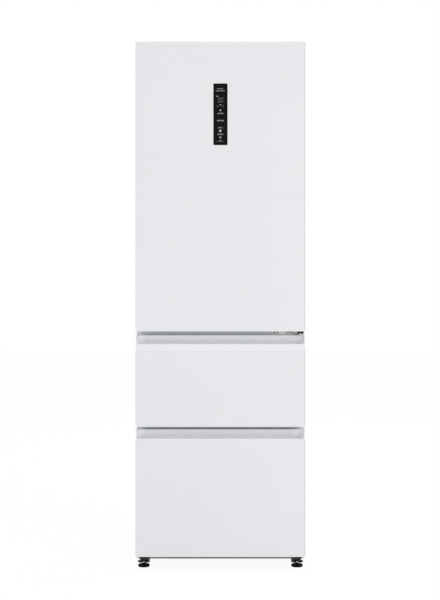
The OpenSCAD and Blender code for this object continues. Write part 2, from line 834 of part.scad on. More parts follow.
// Foam-filled back of a drawer front, with the plug that fills the opening
module inner_panel(z0, z1, lip_h, plug) {
    plug_half = freezer_half - 16;
    difference() {
        union() {
            block([-half_w + sheet_t, front_y + sheet_t, z0 + sheet_t], [half_w - sheet_t, panel_y, z1]);
            along_y(panel_y - 1, panel_y + 20) outline(2 * plug_half, plug[0], plug[1], 12, 12);
        }
        block([-half_w, front_y, z1 - tub_h + lip_h], [half_w, front_y + scoop_d + cap_wall, z1 + 1]);
        both_sides() translate([half_w - corner_r, 0, z0 + corner_r]) along_y(front_y, panel_y) difference() {
            translate([0, -corner_r]) square(corner_r);
            circle(corner_r - sheet_t);
        }
        both_sides() translate([half_w - edge_r, front_y + edge_r, 0]) along_z(z0, z1 + 1) difference() {
            translate([0, -edge_r]) square(edge_r);
            circle(edge_r - sheet_t);
        }
    }
}

// A gasket with its foot, bellows and magnet bulb
module gasket(z0, z1) {
    w = 2 * (half_w - gasket_inset);
    bulb = gasket_w - 2;
    waist = gasket_w - 6;
    color("gainsboro") {
        along_y(panel_y, panel_y + 3) band(w, z0, z1, gasket_w, 8);
        along_y(panel_y + 2.5, panel_y + 6) band(w - 6, z0 + 3, z1 - 3, waist, 6);
        along_y(panel_y + 5.5, flange_y - 0.4) band(w - 2, z0 + 1, z1 - 1, bulb, 7);
    }
}

// A freezer basket hung on the carriage ledges by its side rails
module basket(z0, z1, ledge_z) {
    w = 2 * basket_half;
    y0 = runner_y + 4;
    y1 = runner_y + runner_l - 12;
    tub(w, y0, y1, z0, z1, basket_t, 14);
    both_sides() block([basket_half - 1, y0 + 20, ledge_z + hook_gap],
                           [basket_half + 11, y1 - 20, ledge_z + hook_gap + basket_t]);
    difference() {
        along_z(z1 - 4, z1) outline(w + 8, y0 - 3, y1 + 4, 16, 16);
        along_z(z1 - 5, z1 + 1) outline(w - 2 * basket_t, y0 + basket_t, y1 - basket_t, 11, 11);
    }
}

module middle_skin() {
    color("#e6e8ea") skin(middle_z, middle_top);
}

module middle_handle_cap() {
    color("#eceef0") handle_cap(middle_lip, middle_lip_h);
}

module middle_inner_panel() {
    color("white") inner_panel(middle_z, middle_top, middle_lip_h, [freezer_rail[1] + 9, middle_top - 8]);
}

module middle_gasket() {
    gasket(middle_z + gasket_inset, middle_cap_top - cap_seal_drop);
}

module middle_carriage() {
    carriage(middle_runner_z, panel_y + 20);
}

module middle_basket() {
    color("aliceblue", 0.8)
        basket(freezer_rail[1] + 10, freezer_roof - 20, middle_runner_z - neck_half);
}

module middle_runner() {
    runner(middle_runner_z);
}

module lower_skin() {
    color("#e6e8ea") skin(front_z, lower_top);
}

module lower_handle_cap() {
    color("#eceef0") handle_cap(lower_lip, lower_lip_h);
}

module lower_inner_panel() {
    color("white") inner_panel(front_z, lower_top, lower_lip_h, [freezer_floor + 9, freezer_rail[0] - 12]);
}

module lower_gasket() {
    gasket(front_z + gasket_inset, lower_cap_top - cap_seal_drop);
}

module lower_carriage() {
    carriage(lower_runner_z, panel_y + 20);
}

// The lower basket steps up over the compressor space
module lower_basket() {
    w = 2 * basket_half;
    y0 = runner_y + 4;
    y1 = runner_y + runner_l - 12;
    y_step = step_y - 16;
    z0 = freezer_floor + 12;
    z_step = step_z + 16;
    z1 = freezer_rail[0] - 14;
    ledge_z = lower_runner_z - neck_half;
    color("aliceblue", 0.8) {
        difference() {
            union() {
                along_z(z0, z1) outline(w, y0, y_step, 14, 14);
                along_z(z_step, z1) outline(w, y0, y1, 14, 14);
                along_z(z1 - 4, z1) outline(w + 8, y0 - 3, y1 + 4, 16, 16);
            }
            along_z(z0 + basket_t, z1 + 1)
                outline(w - 2 * basket_t, y0 + basket_t, y_step - basket_t, 12, 12);
            along_z(z_step + basket_t, z1 + 1)
                outline(w - 2 * basket_t, y0 + basket_t, y1 - basket_t, 12, 12);
        }
        both_sides() block([basket_half - 1, y0 + 20, ledge_z + hook_gap],
                           [basket_half + 11, y1 - 20, ledge_z + hook_gap + basket_t]);
    }
}

module lower_runner() {
    runner(lower_runner_z);
}

display_z = [door_top - display_drop - display_h, door_top - display_drop];
display_t = 3;
display_box_d = 12;
glass_gap = 0.3;

// The corner of the door that the top hinge arm swings in
module hinge_pocket() {
    block([hinge_at[0] - arm_r - 5, hinge_at[1] - arm_r - 10, pocket_z],
          [half_w + 1, panel_y + 1, door_top + 1]);
}

module door_skin() {
    color("#e6e8ea") difference() {
        intersection() {
            along_z(door_z, door_top) difference() {
                outline(cabinet_w, front_y, panel_y, edge_r, 0);
                outline(cabinet_w - 2 * sheet_t, front_y + sheet_t, panel_y + 1, edge_r - sheet_t, 0);
            }
            along_y(front_y - 1, panel_y + 1) outline(cabinet_w, door_z, door_top, corner_r, 0);
        }
        hinge_pocket();
        along_y(front_y - 1, front_y + sheet_t + 1)
            outline(display_w + 2 * glass_gap, display_z[0] - glass_gap, display_z[1] + glass_gap,
                    display_r + glass_gap, display_r + glass_gap);
    }
}

// A moulded end cap inside the folded skin
module door_cap(z0, z1) {
    along_z(z0, z1) outline(cabinet_w - 2 * sheet_t, front_y + sheet_t, panel_y, edge_r - sheet_t, 0);
}

module door_top_cap() {
    color("lightgrey") difference() {
        door_cap(door_top - cap_h, door_top - 1);
        hinge_pocket();
        translate([hinge_at[0], hinge_at[1], 0]) cylinder(r = hinge_pin_r + seat_h, h = door_top);
    }
}

module door_bottom_cap() {
    color("lightgrey") difference() {
        intersection() {
            door_cap(door_z, door_z + cap_h);
            along_y(front_y - 1, panel_y + 1)
                outline(cabinet_w - 2 * sheet_t, door_z, door_z + 3 * cap_h, corner_r - sheet_t, 0);
        }
        translate([hinge_at[0], hinge_at[1], 0]) cylinder(r = hinge_pin_r + seat_h, h = door_top);
    }
}

module door_foam() {
    color("khaki") difference() {
        door_cap(door_z + cap_h, door_top - cap_h);
        block([-half_w, panel_y - liner_t, door_z], [half_w, panel_y + 1, door_top]);
        along_y(front_y, front_y + display_t + display_box_d)
            outline(display_w + 2 * glass_gap, display_z[0] - glass_gap, display_z[1] + glass_gap);
        translate([hinge_at[0], hinge_at[1], 0]) cylinder(r = hinge_pin_r + seat_h, h = door_top);
    }
}

// The moulded door lining with the raised frame that carries the shelves
module door_liner() {
    color("whitesmoke") {
        block([-half_w + sheet_t, panel_y - liner_t, door_z + cap_h],
              [half_w - sheet_t, panel_y, door_top - cap_h]);
        along_y(panel_y - 1, panel_y + dike_d) band(2 * dike_half, dike_z[0], dike_z[1], dike_t, dike_r);
        // studs that the shelves hang on
        both_sides() for (z = bin_levels)
            block([bin_half - 4, panel_y - 1, z - 8], [bin_half + 1, panel_y + dike_d - 4, z]);
    }
}

module door_gasket() {
    gasket(door_z + gasket_inset, cabinet_top - 9);
}

module display_glass() {
    color("#1b1c1f") {
        along_y(front_y, front_y + display_t)
            outline(display_w, display_z[0], display_z[1], display_r, display_r);
        along_y(front_y + display_t, front_y + display_t + display_box_d)
            outline(display_w - 6, display_z[0] + 3, display_z[1] - 3);
    }
}

// Plastic bushes in the two ends of the door, with the hinge pins in their bores.
// The lower one carries the closer cam, whose V reaches down beside the pin
module hinge_bushes() {
    bush_l = 20;
    cam_low = arm_z + hinge_t + 1.5;
    color("#2b2b2b") translate([hinge_at[0], hinge_at[1], 0]) {
        difference() {
            union() {
                translate([0, 0, door_z - 2.5]) cylinder(r = 10, h = 2.5);
                along_y(-9, 8) polygon([[-2, door_z], [11, door_z], [11, door_z - 3], [7, cam_low],
                                        [3, cam_low], [-2, door_z - 5]]);
                block([-9.5, -8, door_z - 7], [-4.5, 6, door_z]);
                translate([0, 0, door_z]) cylinder(r = hinge_pin_r + seat_h, h = bush_l);
            }
            translate([0, 0, arm_z]) cylinder(r = hinge_pin_r + fit, h = door_z + bush_l + 2 - arm_z);
        }
        difference() {
            translate([0, 0, pocket_z - bush_l]) cylinder(r = hinge_pin_r + seat_h, h = bush_l);
            translate([0, 0, pocket_z - bush_l + 3]) cylinder(r = hinge_pin_r + fit, h = bush_l);
        }
    }
}

// A door shelf: an open tray that hangs between the sides of the door lining
module door_bin(z, h) {
    y0 = panel_y;
    y1 = panel_y + bin_d;
    tub(2 * bin_half, y0, y1, z, z + h, basket_t, 10);
}

module bottle_shelf() {
    color("aliceblue", 0.8) door_bin(bin_levels[0], bottle_h);
}

module middle_door_shelf() {
    color("aliceblue", 0.8) door_bin(bin_levels[1], bin_h);
}

module upper_door_shelf() {
    color("aliceblue", 0.8) door_bin(bin_levels[2], bin_h);
}

// Hinge arm outline from the cabinet edge to the pin
module arm_outline(r, y1) {
    circle(r);
    translate([-r, 0]) square([2 * r, y1]);
}

top_plate_w = 56;
top_plate_d = 80;
top_screw_y = flange_y + 50;
top_screw_x = [-32, -14, 4];

module top_hinge() {
    plate_z = cabinet_top;
    color("silver") {
        difference() {
            along_z(plate_z, plate_z + hinge_t) translate(hinge_at) {
                arm_outline(arm_r, flange_y - hinge_at[1] + 10);
                translate([arm_r - top_plate_w, flange_y - hinge_at[1] + 6])
                    square([top_plate_w, top_plate_d]);
            }
            for (x = top_screw_x)
                translate([hinge_at[0] + x, top_screw_y, plate_z - 1]) cylinder(r = 2.8, h = 10);
        }
        translate([hinge_at[0], hinge_at[1], plate_z - 16]) cylinder(r = hinge_pin_r, h = 16);
    }
}

module top_hinge_cover() {
    x0 = hinge_at[0] + arm_r - top_plate_w - 4;
    x1 = half_w - 1.5;
    y0 = flange_y + 3;
    y1 = flange_y + 100;
    color("#d8dadc") difference() {
        along_x(x0, x1) {
            translate([y0 + 12, cabinet_top]) square([y1 - y0 - 12, 12]);
            intersection() {
                translate([y0 + 12, cabinet_top]) circle(12);
                translate([y0, cabinet_top]) square([13, 12]);
            }
        }
        block([x0 + 2, y0 - 3, cabinet_top - 1], [x1 - 0.5, y1 - 2, cabinet_top + 8]);
    }
}

plate_x = [hinge_at[0] - 98, half_w - 5.5];
middle_screw_x = [19, 54, 72];
middle_arm_r = 9.5;
arm_z = middle_cap_top + arm_gap;
screw_z = arm_z + 6;

// A slot and a hole beside the screws, where the plate hooks into the rail
module hook_holes() {
    translate([plate_x[0], 0, screw_z]) along_y(flange_y - 10, flange_y + 10) {
        translate([5.5, -4.5]) square([4, 9]);
        translate([63, 2]) circle(2.6);
    }
}

// Screw plate on the rail and an arm with the pin that carries the door
module middle_hinge() {
    face_y = flange_y - hinge_t;
    color("silver") {
        difference() {
            block([plate_x[0], face_y, arm_z - 6], [plate_x[1], flange_y, arm_z + 24]);
            for (x = middle_screw_x)
                translate([plate_x[0] + x, flange_y + 1, screw_z])
                    rotate([90, 0, 0]) cylinder(r = 2.8, h = 10);
            hook_holes();
        }
        along_z(arm_z, arm_z + hinge_t)
            translate(hinge_at) arm_outline(middle_arm_r, face_y - hinge_at[1] + 1);
        along_z(arm_z, arm_z + hinge_t)
            polygon([[hinge_at[0] - middle_arm_r, hinge_at[1] + 10],
                     [hinge_at[0] - middle_arm_r, face_y + 1],
                     [hinge_at[0] - 20, face_y + 1]]);
        translate([hinge_at[0], hinge_at[1], arm_z]) cylinder(r = hinge_pin_r, h = door_z + 16 - arm_z);
        translate([hinge_at[0], hinge_at[1], arm_z]) cylinder(r = 7, h = hinge_t + 1);
    }
}

// Screws of both hinges, each a shank in its clearance hole under a round head
module hinge_screws() {
    color("silver") {
        for (x = top_screw_x) translate([hinge_at[0] + x, top_screw_y, cabinet_top]) screw();
        for (x = middle_screw_x) translate([plate_x[0] + x, flange_y, screw_z]) rotate([90, 0, 0]) screw();
    }
}

module screw() {
    difference() {
        union() {
            cylinder(r = 2.5, h = hinge_t);
            translate([0, 0, hinge_t]) cylinder(r = 5, h = 2.4);
        }
        translate([0, 0, hinge_t + 1]) cylinder(r = 2, h = 3, $fn = 6);
    }
}

// Bowl-shaped nut housings under the pan that the levelling screws run in, with a gusset inwards
module foot_bosses() {
    rim_r = 19;
    rise = 10.5;
    bowl_h = pan_z - wheel_z[1] - slide_gap;
    color("#17181a") both_sides() translate([foot_at[0], foot_at[1], 0]) difference() {
        union() {
            rotate_extrude() intersection() {
                translate([0, pan_z + rise]) circle(norm([rim_r, rise]));
                translate([0, pan_z - bowl_h]) square([rim_r, bowl_h]);
            }
            along_y(-7, 7) polygon([[0, pan_z], [-foot_r - 4, pan_z], [-foot_r, pan_z - bowl_h + 2],
                                    [0, pan_z - bowl_h + 2]]);
        }
        translate([0, 0, wheel_z[1] - 1]) cylinder(r = screw_r + fit, h = pan_z);
    }
}

// Round pads with a neck that takes the foot of the screw
module foot_pads() {
    color("#17181a") both_sides() translate([foot_at[0], foot_at[1], 0]) rotate_extrude() difference() {
        union() {
            square([foot_r - 0.8, pad_h]);
            translate([0, 0.8]) square([foot_r, pad_h - 1.6]);
            polygon([[0, pad_h - 1], [screw_r + 4, pad_h - 1],
                     [screw_r + 1.5, pad_h + neck_h], [0, pad_h + neck_h]]);
        }
        translate([0, pad_h + neck_h - socket_h]) square([screw_r + fit, socket_h + 1]);
    }
}

// Levelling screw with its wheel: fine grip notches, three finger slots and a hollow under the hub
module foot_wheel(side) {
    notches = 24;
    slot_r = 5.5;
    low = pad_h + neck_h - socket_h + slide_gap;
    translate([side * foot_at[0], foot_at[1], 0]) {
        color("silver") translate([0, 0, low]) cylinder(r = screw_r, h = pan_z + 6 - low);
        color("#17181a") difference() {
            translate([0, 0, wheel_z[0]]) cylinder(r = wheel_r, h = wheel_z[1] - wheel_z[0]);
            for (i = [0:notches - 1]) rotate([0, 0, 7.5 + i * 360 / notches])
                translate([wheel_r + 0.6, 0, wheel_z[0] - 1]) cylinder(r = 1.6, h = 12);
            for (a = [30:120:270]) rotate([0, 0, a]) {
                translate([screw_r + 2 + slot_r, 0, wheel_z[0] - 1]) cylinder(r = slot_r, h = 12);
                block([screw_r + 2 + slot_r, -slot_r, wheel_z[0] - 1], [wheel_r + 1, slot_r, wheel_z[1] + 1]);
            }
            translate([0, 0, wheel_z[0] - 1]) cylinder(r = screw_r + 4, h = 4);
        }
    }
}

module left_foot_wheel() {
    foot_wheel(-1);
}

module right_foot_wheel() {
    foot_wheel(1);
}

module roller(side) {
    color("#2b2b2b") translate([side * roller_at[0], roller_at[1], roller_r]) rotate([0, 90, 0])
        difference() {
            union() {
                cylinder(r = roller_r, h = roller_l - 4, center = true);
                cylinder(r = axle_r + 3, h = roller_l, center = true);
            }
            cylinder(r = axle_r + fit, h = roller_l + 2, center = true);
        }
}

module left_roller() {
    roller(-1);
}

module right_roller() {
    roller(1);
}

cabinet_shell();
rear_panel();
bottom_deck();
base_pan();
insulation();
fridge_liner();
freezer_liner();
mullion_rails();
air_duct();
light_cover();
glass_shelves();
shelf_trims();
drawer_lids();
evaporator_cover();
evaporator();
fan_motor();
fan_blade();
compressor();
compressor_mounts();
condenser_coil();
drip_tray();
compressor_cover();
cabinet_rails();
top_hinge();
top_hinge_cover();
middle_hinge();
hinge_screws();
foot_bosses();
foot_pads();
left_foot_wheel();
right_foot_wheel();
left_roller();
right_roller();
crisper();
chill_drawer();
door_skin();
door_liner();
door_foam();
door_top_cap();
door_bottom_cap();
door_gasket();
display_glass();
hinge_bushes();
upper_door_shelf();
middle_door_shelf();
bottle_shelf();
middle_skin();
middle_handle_cap();
middle_inner_panel();
middle_gasket();
middle_carriage();
middle_basket();
middle_runner();
lower_skin();
lower_handle_cap();
lower_inner_panel();
lower_gasket();
lower_carriage();
lower_basket();
lower_runner();
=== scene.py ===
import json
import math

import bmesh
import bpy
from mathutils import Matrix, Vector


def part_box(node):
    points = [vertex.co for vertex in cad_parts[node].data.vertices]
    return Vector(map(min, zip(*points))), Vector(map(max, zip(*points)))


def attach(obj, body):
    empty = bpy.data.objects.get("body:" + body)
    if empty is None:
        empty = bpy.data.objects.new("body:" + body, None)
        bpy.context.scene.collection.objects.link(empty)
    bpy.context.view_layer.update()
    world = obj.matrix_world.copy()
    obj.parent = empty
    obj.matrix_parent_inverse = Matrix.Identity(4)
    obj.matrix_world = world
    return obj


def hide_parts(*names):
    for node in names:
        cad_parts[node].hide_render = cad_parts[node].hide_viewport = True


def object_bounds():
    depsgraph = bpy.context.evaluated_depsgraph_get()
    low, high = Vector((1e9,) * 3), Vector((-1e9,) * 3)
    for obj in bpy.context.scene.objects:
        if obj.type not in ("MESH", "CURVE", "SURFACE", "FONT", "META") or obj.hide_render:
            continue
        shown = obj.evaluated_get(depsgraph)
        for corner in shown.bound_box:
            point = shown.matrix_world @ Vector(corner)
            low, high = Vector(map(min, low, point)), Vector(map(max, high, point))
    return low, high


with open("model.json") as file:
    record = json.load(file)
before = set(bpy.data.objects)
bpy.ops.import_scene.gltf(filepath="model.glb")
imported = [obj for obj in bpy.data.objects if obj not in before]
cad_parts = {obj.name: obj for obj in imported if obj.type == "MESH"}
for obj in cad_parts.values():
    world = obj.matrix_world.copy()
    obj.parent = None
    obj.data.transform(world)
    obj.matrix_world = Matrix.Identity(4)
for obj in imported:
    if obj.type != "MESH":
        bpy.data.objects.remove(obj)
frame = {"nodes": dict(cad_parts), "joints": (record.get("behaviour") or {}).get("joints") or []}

nodes = frame["nodes"]
cad_low, cad_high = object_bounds()

# Camera and studio
# The camera stands level at about half the appliance's height and 4.2 m in front of the door,
# so the front is seen square on. A white cyclorama and large soft lamps give an even light.

lens_height = 0.9511
lens_distance = 4.2
lens_side = -0.0016
focal_length = 72.02

camera_data = bpy.data.cameras.new("front_camera")
camera_data.lens = focal_length
camera_data.sensor_width = 36.0
camera_data.clip_end = 60.0
camera = bpy.data.objects.new("front_camera", camera_data)
camera.location = (lens_side, cad_low.y - lens_distance, lens_height)
camera.rotation_euler = (math.radians(90), 0, 0)
bpy.context.scene.collection.objects.link(camera)
bpy.context.scene.camera = camera
bpy.context.scene.view_settings.view_transform = "Standard"


def seen_directly(tree):
    """1 on rays from the camera, in mirrors and through glass, which see the white backdrop as white."""
    path = tree.nodes.new("ShaderNodeLightPath")
    mirror = tree.nodes.new("ShaderNodeMath")
    mirror.operation = "MAXIMUM"
    tree.links.new(path.outputs["Is Camera Ray"], mirror.inputs[0])
    tree.links.new(path.outputs["Is Glossy Ray"], mirror.inputs[1])
    either = tree.nodes.new("ShaderNodeMath")
    either.operation = "MAXIMUM"
    tree.links.new(mirror.outputs[0], either.inputs[0])
    tree.links.new(path.outputs["Is Transmission Ray"], either.inputs[1])
    return either.outputs[0]


sky_strength = 0.70
studio = bpy.data.worlds.new("white_studio")
studio.use_nodes = True
tree = studio.node_tree
tree.nodes.clear()
sky_light = tree.nodes.new("ShaderNodeBackground")
sky_light.inputs["Color"].default_value = (1.0, 1.0, 1.0, 1.0)
sky_light.inputs["Strength"].default_value = sky_strength
backdrop_white = tree.nodes.new("ShaderNodeBackground")
backdrop_white.inputs["Color"].default_value = (1.0, 1.0, 1.0, 1.0)
backdrop_white.inputs["Strength"].default_value = 1.0
sky_mix = tree.nodes.new("ShaderNodeMixShader")
sky_out = tree.nodes.new("ShaderNodeOutputWorld")
tree.links.new(seen_directly(tree), sky_mix.inputs[0])
tree.links.new(sky_light.outputs[0], sky_mix.inputs[1])
tree.links.new(backdrop_white.outputs[0], sky_mix.inputs[2])
tree.links.new(sky_mix.outputs[0], sky_out.inputs["Surface"])
bpy.context.scene.world = studio

floor_half = 14.0
floor_back = 3.0
floor_drop = 0.0003
floor_tone = 0.97
floor_glow_strength = 1.02
floor_glow_share = 0.92
floor_mesh = bpy.data.meshes.new("studio_floor")
shape = bmesh.new()
bmesh.ops.create_grid(shape, x_segments=1, y_segments=1, size=floor_half)
shape.to_mesh(floor_mesh)
shape.free()
studio_floor = bpy.data.objects.new("studio_floor", floor_mesh)
studio_floor.location = (0, floor_back, -floor_drop)
bpy.context.scene.collection.objects.link(studio_floor)

floor_white = bpy.data.materials.new("studio_floor_white")
floor_white.use_nodes = True
tree = floor_white.node_tree
tree.nodes.clear()
floor_paint = tree.nodes.new("ShaderNodeBsdfDiffuse")
floor_paint.inputs["Color"].default_value = (floor_tone, floor_tone, floor_tone, 1.0)
floor_glow = tree.nodes.new("ShaderNodeEmission")
floor_glow.inputs["Color"].default_value = (1.0, 1.0, 1.0, 1.0)
floor_glow.inputs["Strength"].default_value = floor_glow_strength
glow_share = tree.nodes.new("ShaderNodeMath")
glow_share.operation = "MULTIPLY"
glow_share.inputs[1].default_value = floor_glow_share
floor_mix = tree.nodes.new("ShaderNodeMixShader")
floor_out = tree.nodes.new("ShaderNodeOutputMaterial")
tree.links.new(seen_directly(tree), glow_share.inputs[0])
tree.links.new(glow_share.outputs[0], floor_mix.inputs[0])
tree.links.new(floor_paint.outputs[0], floor_mix.inputs[1])
tree.links.new(floor_glow.outputs[0], floor_mix.inputs[2])
tree.links.new(floor_mix.outputs[0], floor_out.inputs["Surface"])
floor_mesh.materials.append(floor_white)


def soft_lamp(name, place, target, width, height, power):
    """A large soft box that faces target."""
    lamp = bpy.data.lights.new(name, "AREA")
    lamp.shape = "RECTANGLE"
    lamp.size = width
    lamp.size_y = height
    lamp.energy = power
    hung = bpy.data.objects.new(name, lamp)
    hung.location = place
    hung.rotation_euler = (Vector(target) - Vector(place)).to_track_quat("-Z", "Y").to_euler()
    hung.visible_glossy = False
    hung.visible_camera = False
    bpy.context.scene.collection.objects.link(hung)


soft_lamp("front_right_box", (3.0, -3.6, 1.5), (0, 0, 0.90), width=2.4, height=2.6, power=49.0)
soft_lamp("front_left_box", (-3.0, -3.6, 1.0), (0, 0, 0.80), width=2.2, height=2.6, power=26.0)
soft_lamp("rear_box", (2.3, 3.6, 2.4), (0, 0.3, 0.9), width=2.0, height=2.4, power=30.0)

# Painted door and drawer skins
# Each front is a pan of thin steel sheet, folded at its edges and sprayed a cool satin white.
# The paint keeps a faint orange peel and drifts a little in tone; along the hinge side's edge of the face it
# carries a narrow strip of painted shade.


def shader_of(name, colour, roughness, metallic=0.0):
    """A new material with one principled shader; returns it with its node tree and shader."""
    made = bpy.data.materials.new(name)
    made.use_nodes = True
    shader = made.node_tree.nodes["Principled BSDF"]
    shader.inputs["Base Color"].default_value = (*colour, 1.0)
    shader.inputs["Roughness"].default_value = roughness
    shader.inputs["Metallic"].default_value = metallic
    return made, made.node_tree, shader


def grain(tree, scale, detail=2.0, stretch=(1.0, 1.0, 1.0)):
    """Noise in the object's own metres, stretched along an axis where a stretch is small."""
    place = tree.nodes.new("ShaderNodeTexCoord")
    sized = tree.nodes.new("ShaderNodeMapping")
    sized.inputs["Scale"].default_value = stretch
    noise = tree.nodes.new("ShaderNodeTexNoise")
    noise.inputs["Scale"].default_value = scale
    noise.inputs["Detail"].default_value = detail
    tree.links.new(place.outputs["Object"], sized.inputs["Vector"])
    tree.links.new(sized.outputs["Vector"], noise.inputs["Vector"])
    return noise.outputs["Fac"]


def vary(tree, shader, socket, pattern, low, high):
    """Lets a pattern move a colour or a number between low and high."""
    ramp = tree.nodes.new("ShaderNodeValToRGB")
    as_colour = [v if isinstance(v, tuple) else (v, v, v) for v in (low, high)]
    ramp.color_ramp.elements[0].position = 0.3
    ramp.color_ramp.elements[1].position = 0.7
    ramp.color_ramp.elements[0].color = (*as_colour[0], 1.0)
    ramp.color_ramp.elements[1].color = (*as_colour[1], 1.0)
    tree.links.new(pattern, ramp.inputs["Fac"])
    tree.links.new(ramp.outputs["Color"], shader.inputs[socket])


def relief(tree, shader, pattern, strength, depth):
    """Raises a pattern as a bump of the given depth in metres."""
    bump = tree.nodes.new("ShaderNodeBump")
    bump.inputs["Strength"].default_value = strength
    bump.inputs["Distance"].default_value = depth
    tree.links.new(pattern, bump.inputs["Height"])
    tree.links.new(bump.outputs["Normal"], shader.inputs["Normal"])


def scaled(colour, factor):
    """A colour made lighter or darker by a factor."""
    return tuple(min(1.0, c * factor) for c in colour)


def sprayed_paint(name, colour, roughness, peel=0.12, drift=0.008):
    """Oven-baked paint: slow drift of tone, fine orange peel, a thin clear gloss."""
    made, tree, shader = shader_of(name, colour, roughness)
    shader.inputs["Specular IOR Level"].default_value = 0.35
    dark, light = scaled(colour, 1 - drift), scaled(colour, 1 + drift)
    vary(tree, shader, "Base Color", grain(tree, 2.2), dark, light)
    vary(tree, shader, "Roughness", grain(tree, 60.0), roughness - 0.03, roughness + 0.03)
    relief(tree, shader, grain(tree, 700.0), peel, 0.0002)
    return made


def share_of(tree, value, start, end, low=0.0, high=1.0):
    """Maps value's run from start to end onto low to high, and holds it there beyond."""
    step = tree.nodes.new("ShaderNodeMapRange")
    for socket, number in (("From Min", start), ("From Max", end), ("To Min", low), ("To Max", high)):
        step.inputs[socket].default_value = number
    tree.links.new(value, step.inputs["Value"])
    return step.outputs["Result"]


def product(tree, first, second):
    """Multiplies two shares."""
    times = tree.nodes.new("ShaderNodeMath")
    times.operation = "MULTIPLY"
    tree.links.new(first, times.inputs[0])
    tree.links.new(second, times.inputs[1])
    return times.outputs["Value"]


def blend(tree, shader, share, colour):
    """Fades the base colour that a shader has so far towards another one by share."""
    fade = tree.nodes.new("ShaderNodeMix")
    fade.data_type = "RGBA"
    fade.inputs["B"].default_value = (*colour, 1.0)
    tree.links.new(share, fade.inputs["Factor"])
    tree.links.new(shader.inputs["Base Color"].links[0].from_socket, fade.inputs["A"])
    tree.links.new(fade.outputs["Result"], shader.inputs["Base Color"])


def place_in_part(tree):
    """Where a point lies in its part's own box, as shares from 0 to 1 along X, Y and Z."""
    place = tree.nodes.new("ShaderNodeTexCoord")
    axes = tree.nodes.new("ShaderNodeSeparateXYZ")
    tree.links.new(place.outputs["Generated"], axes.inputs["Vector"])
    return axes.outputs


def dress(material, *names):
    """Gives CAD nodes a finish in place of their plain one."""
    for name in names:
        slots = nodes[name].data.materials
        slots.clear()
        slots.append(material)


def soften(width, *names, angle=35.0):
    """Breaks the sharp edges of CAD nodes, as a fold or a mould does."""
    for name in names:
        rounding = nodes[name].modifiers.new("soft_edges", "BEVEL")
        rounding.width = width
        rounding.segments = 2
        rounding.limit_method = "ANGLE"
        rounding.angle_limit = math.radians(angle)


front_white = sprayed_paint("front_white_paint", (0.79, 0.80, 0.82), 0.38)
tree = front_white.node_tree
in_skin = place_in_part(tree)
# Painted shade: a narrow strip along the hinge side's edge of each front face is darkened.
hinge_edge_shade = 0.11
shaded_hinge_edge = share_of(tree, in_skin["X"], 0.9912, 0.9930, high=hinge_edge_shade)
on_face = share_of(tree, in_skin["Y"], 0.040, 0.015)
blend(tree, tree.nodes["Principled BSDF"], product(tree, shaded_hinge_edge, on_face), (0.0, 0.0, 0.0))
dress(front_white, "door_skin", "middle_skin", "lower_skin")
soften(0.0005, "door_skin")
soften(0.0008, "middle_skin", "lower_skin")

# Handle caps
# The finger scoop along the top of each drawer is one injection moulding in pearl silver white,
# clipped over the folded top of the skin. Inside the scoop its colour carries painted shade that
# deepens downwards, and painted light at both ends and towards the trench floor.


def moulded(name, colour, roughness, texture=0.1, texture_scale=1400.0, gloss=0.4):
    """Moulded plastic: a fine spark-eroded texture and a slight mottle in its roughness."""
    made, tree, shader = shader_of(name, colour, roughness)
    shader.inputs["Specular IOR Level"].default_value = gloss
    vary(tree, shader, "Base Color", grain(tree, 6.0), scaled(colour, 0.99), scaled(colour, 1.01))
    vary(tree, shader, "Roughness", grain(tree, 90.0), max(0.02, roughness - 0.04), roughness + 0.04)
    relief(tree, shader, grain(tree, texture_scale), texture, 0.0001)
    return made


cap_silver = moulded("handle_cap_silver", (0.822, 0.836, 0.868), 0.33, texture=0.05)
tree = cap_silver.node_tree
shader = tree.nodes["Principled BSDF"]
scoop = place_in_part(tree)
past_left = share_of(tree, scoop["X"], 0.0015, 0.0050)
before_right = share_of(tree, scoop["X"], 0.9985, 0.9950)
behind_lip = share_of(tree, scoop["Y"], 0.20, 0.62)
inside = product(tree, behind_lip, product(tree, past_left, before_right))
# Painted shade inside the scoop, darker towards its floor.
recess_shade = share_of(tree, scoop["Z"], 1.0, 0.50, 0.02, 0.15)
blend(tree, shader, product(tree, inside, recess_shade), (0.0, 0.0, 0.0))
# Painted light at both ends of the scoop, where its corners fall into shade.
for end_light_run in ((0.060, 0.018), (0.920, 0.985)):
    blend(tree, shader, product(tree, inside, share_of(tree, scoop["X"], *end_light_run)), (0.98, 0.98, 0.99))
# Painted light towards the trench floor of the scoop.
trench_light = share_of(tree, scoop["Z"], 0.60, 0.48, high=0.8)
blend(tree, shader, product(tree, inside, trench_light), (0.97, 0.97, 0.99))
dress(cap_silver, "middle_handle_cap", "lower_handle_cap")
soften(0.0005, "middle_handle_cap", "lower_handle_cap")

# Display panel
# A slim strip of black glass lies flush in the door, bonded to the control board's housing.
# Its marks light up white from behind: two digits, a few symbols and rows of plain dashes.

glass_edge = 0.0002
ink_room = 0.0002
glass_corner = 0.0035
pane_t = 0.003
housing_inset = 0.003
housing_d = 0.0148
display_low, display_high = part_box("display_glass")
display_middle = (display_low + display_high) / 2
display_face = display_low.y + ink_room


def link_piece(name, shape, body, material, smooth=False):
    """Turns a bmesh into a piece that rides on a body; returns the piece."""
    mesh = bpy.data.meshes.new(name)
    bmesh.ops.recalc_face_normals(shape, faces=shape.faces)
    shape.to_mesh(mesh)
    shape.free()
    mesh.materials.append(material)
    if smooth:
        mesh.shade_smooth()
        mesh.set_sharp_from_angle(angle=math.radians(38))
    piece = bpy.data.objects.new(name, mesh)
    bpy.context.scene.collection.objects.link(piece)
    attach(piece, body)
    return piece


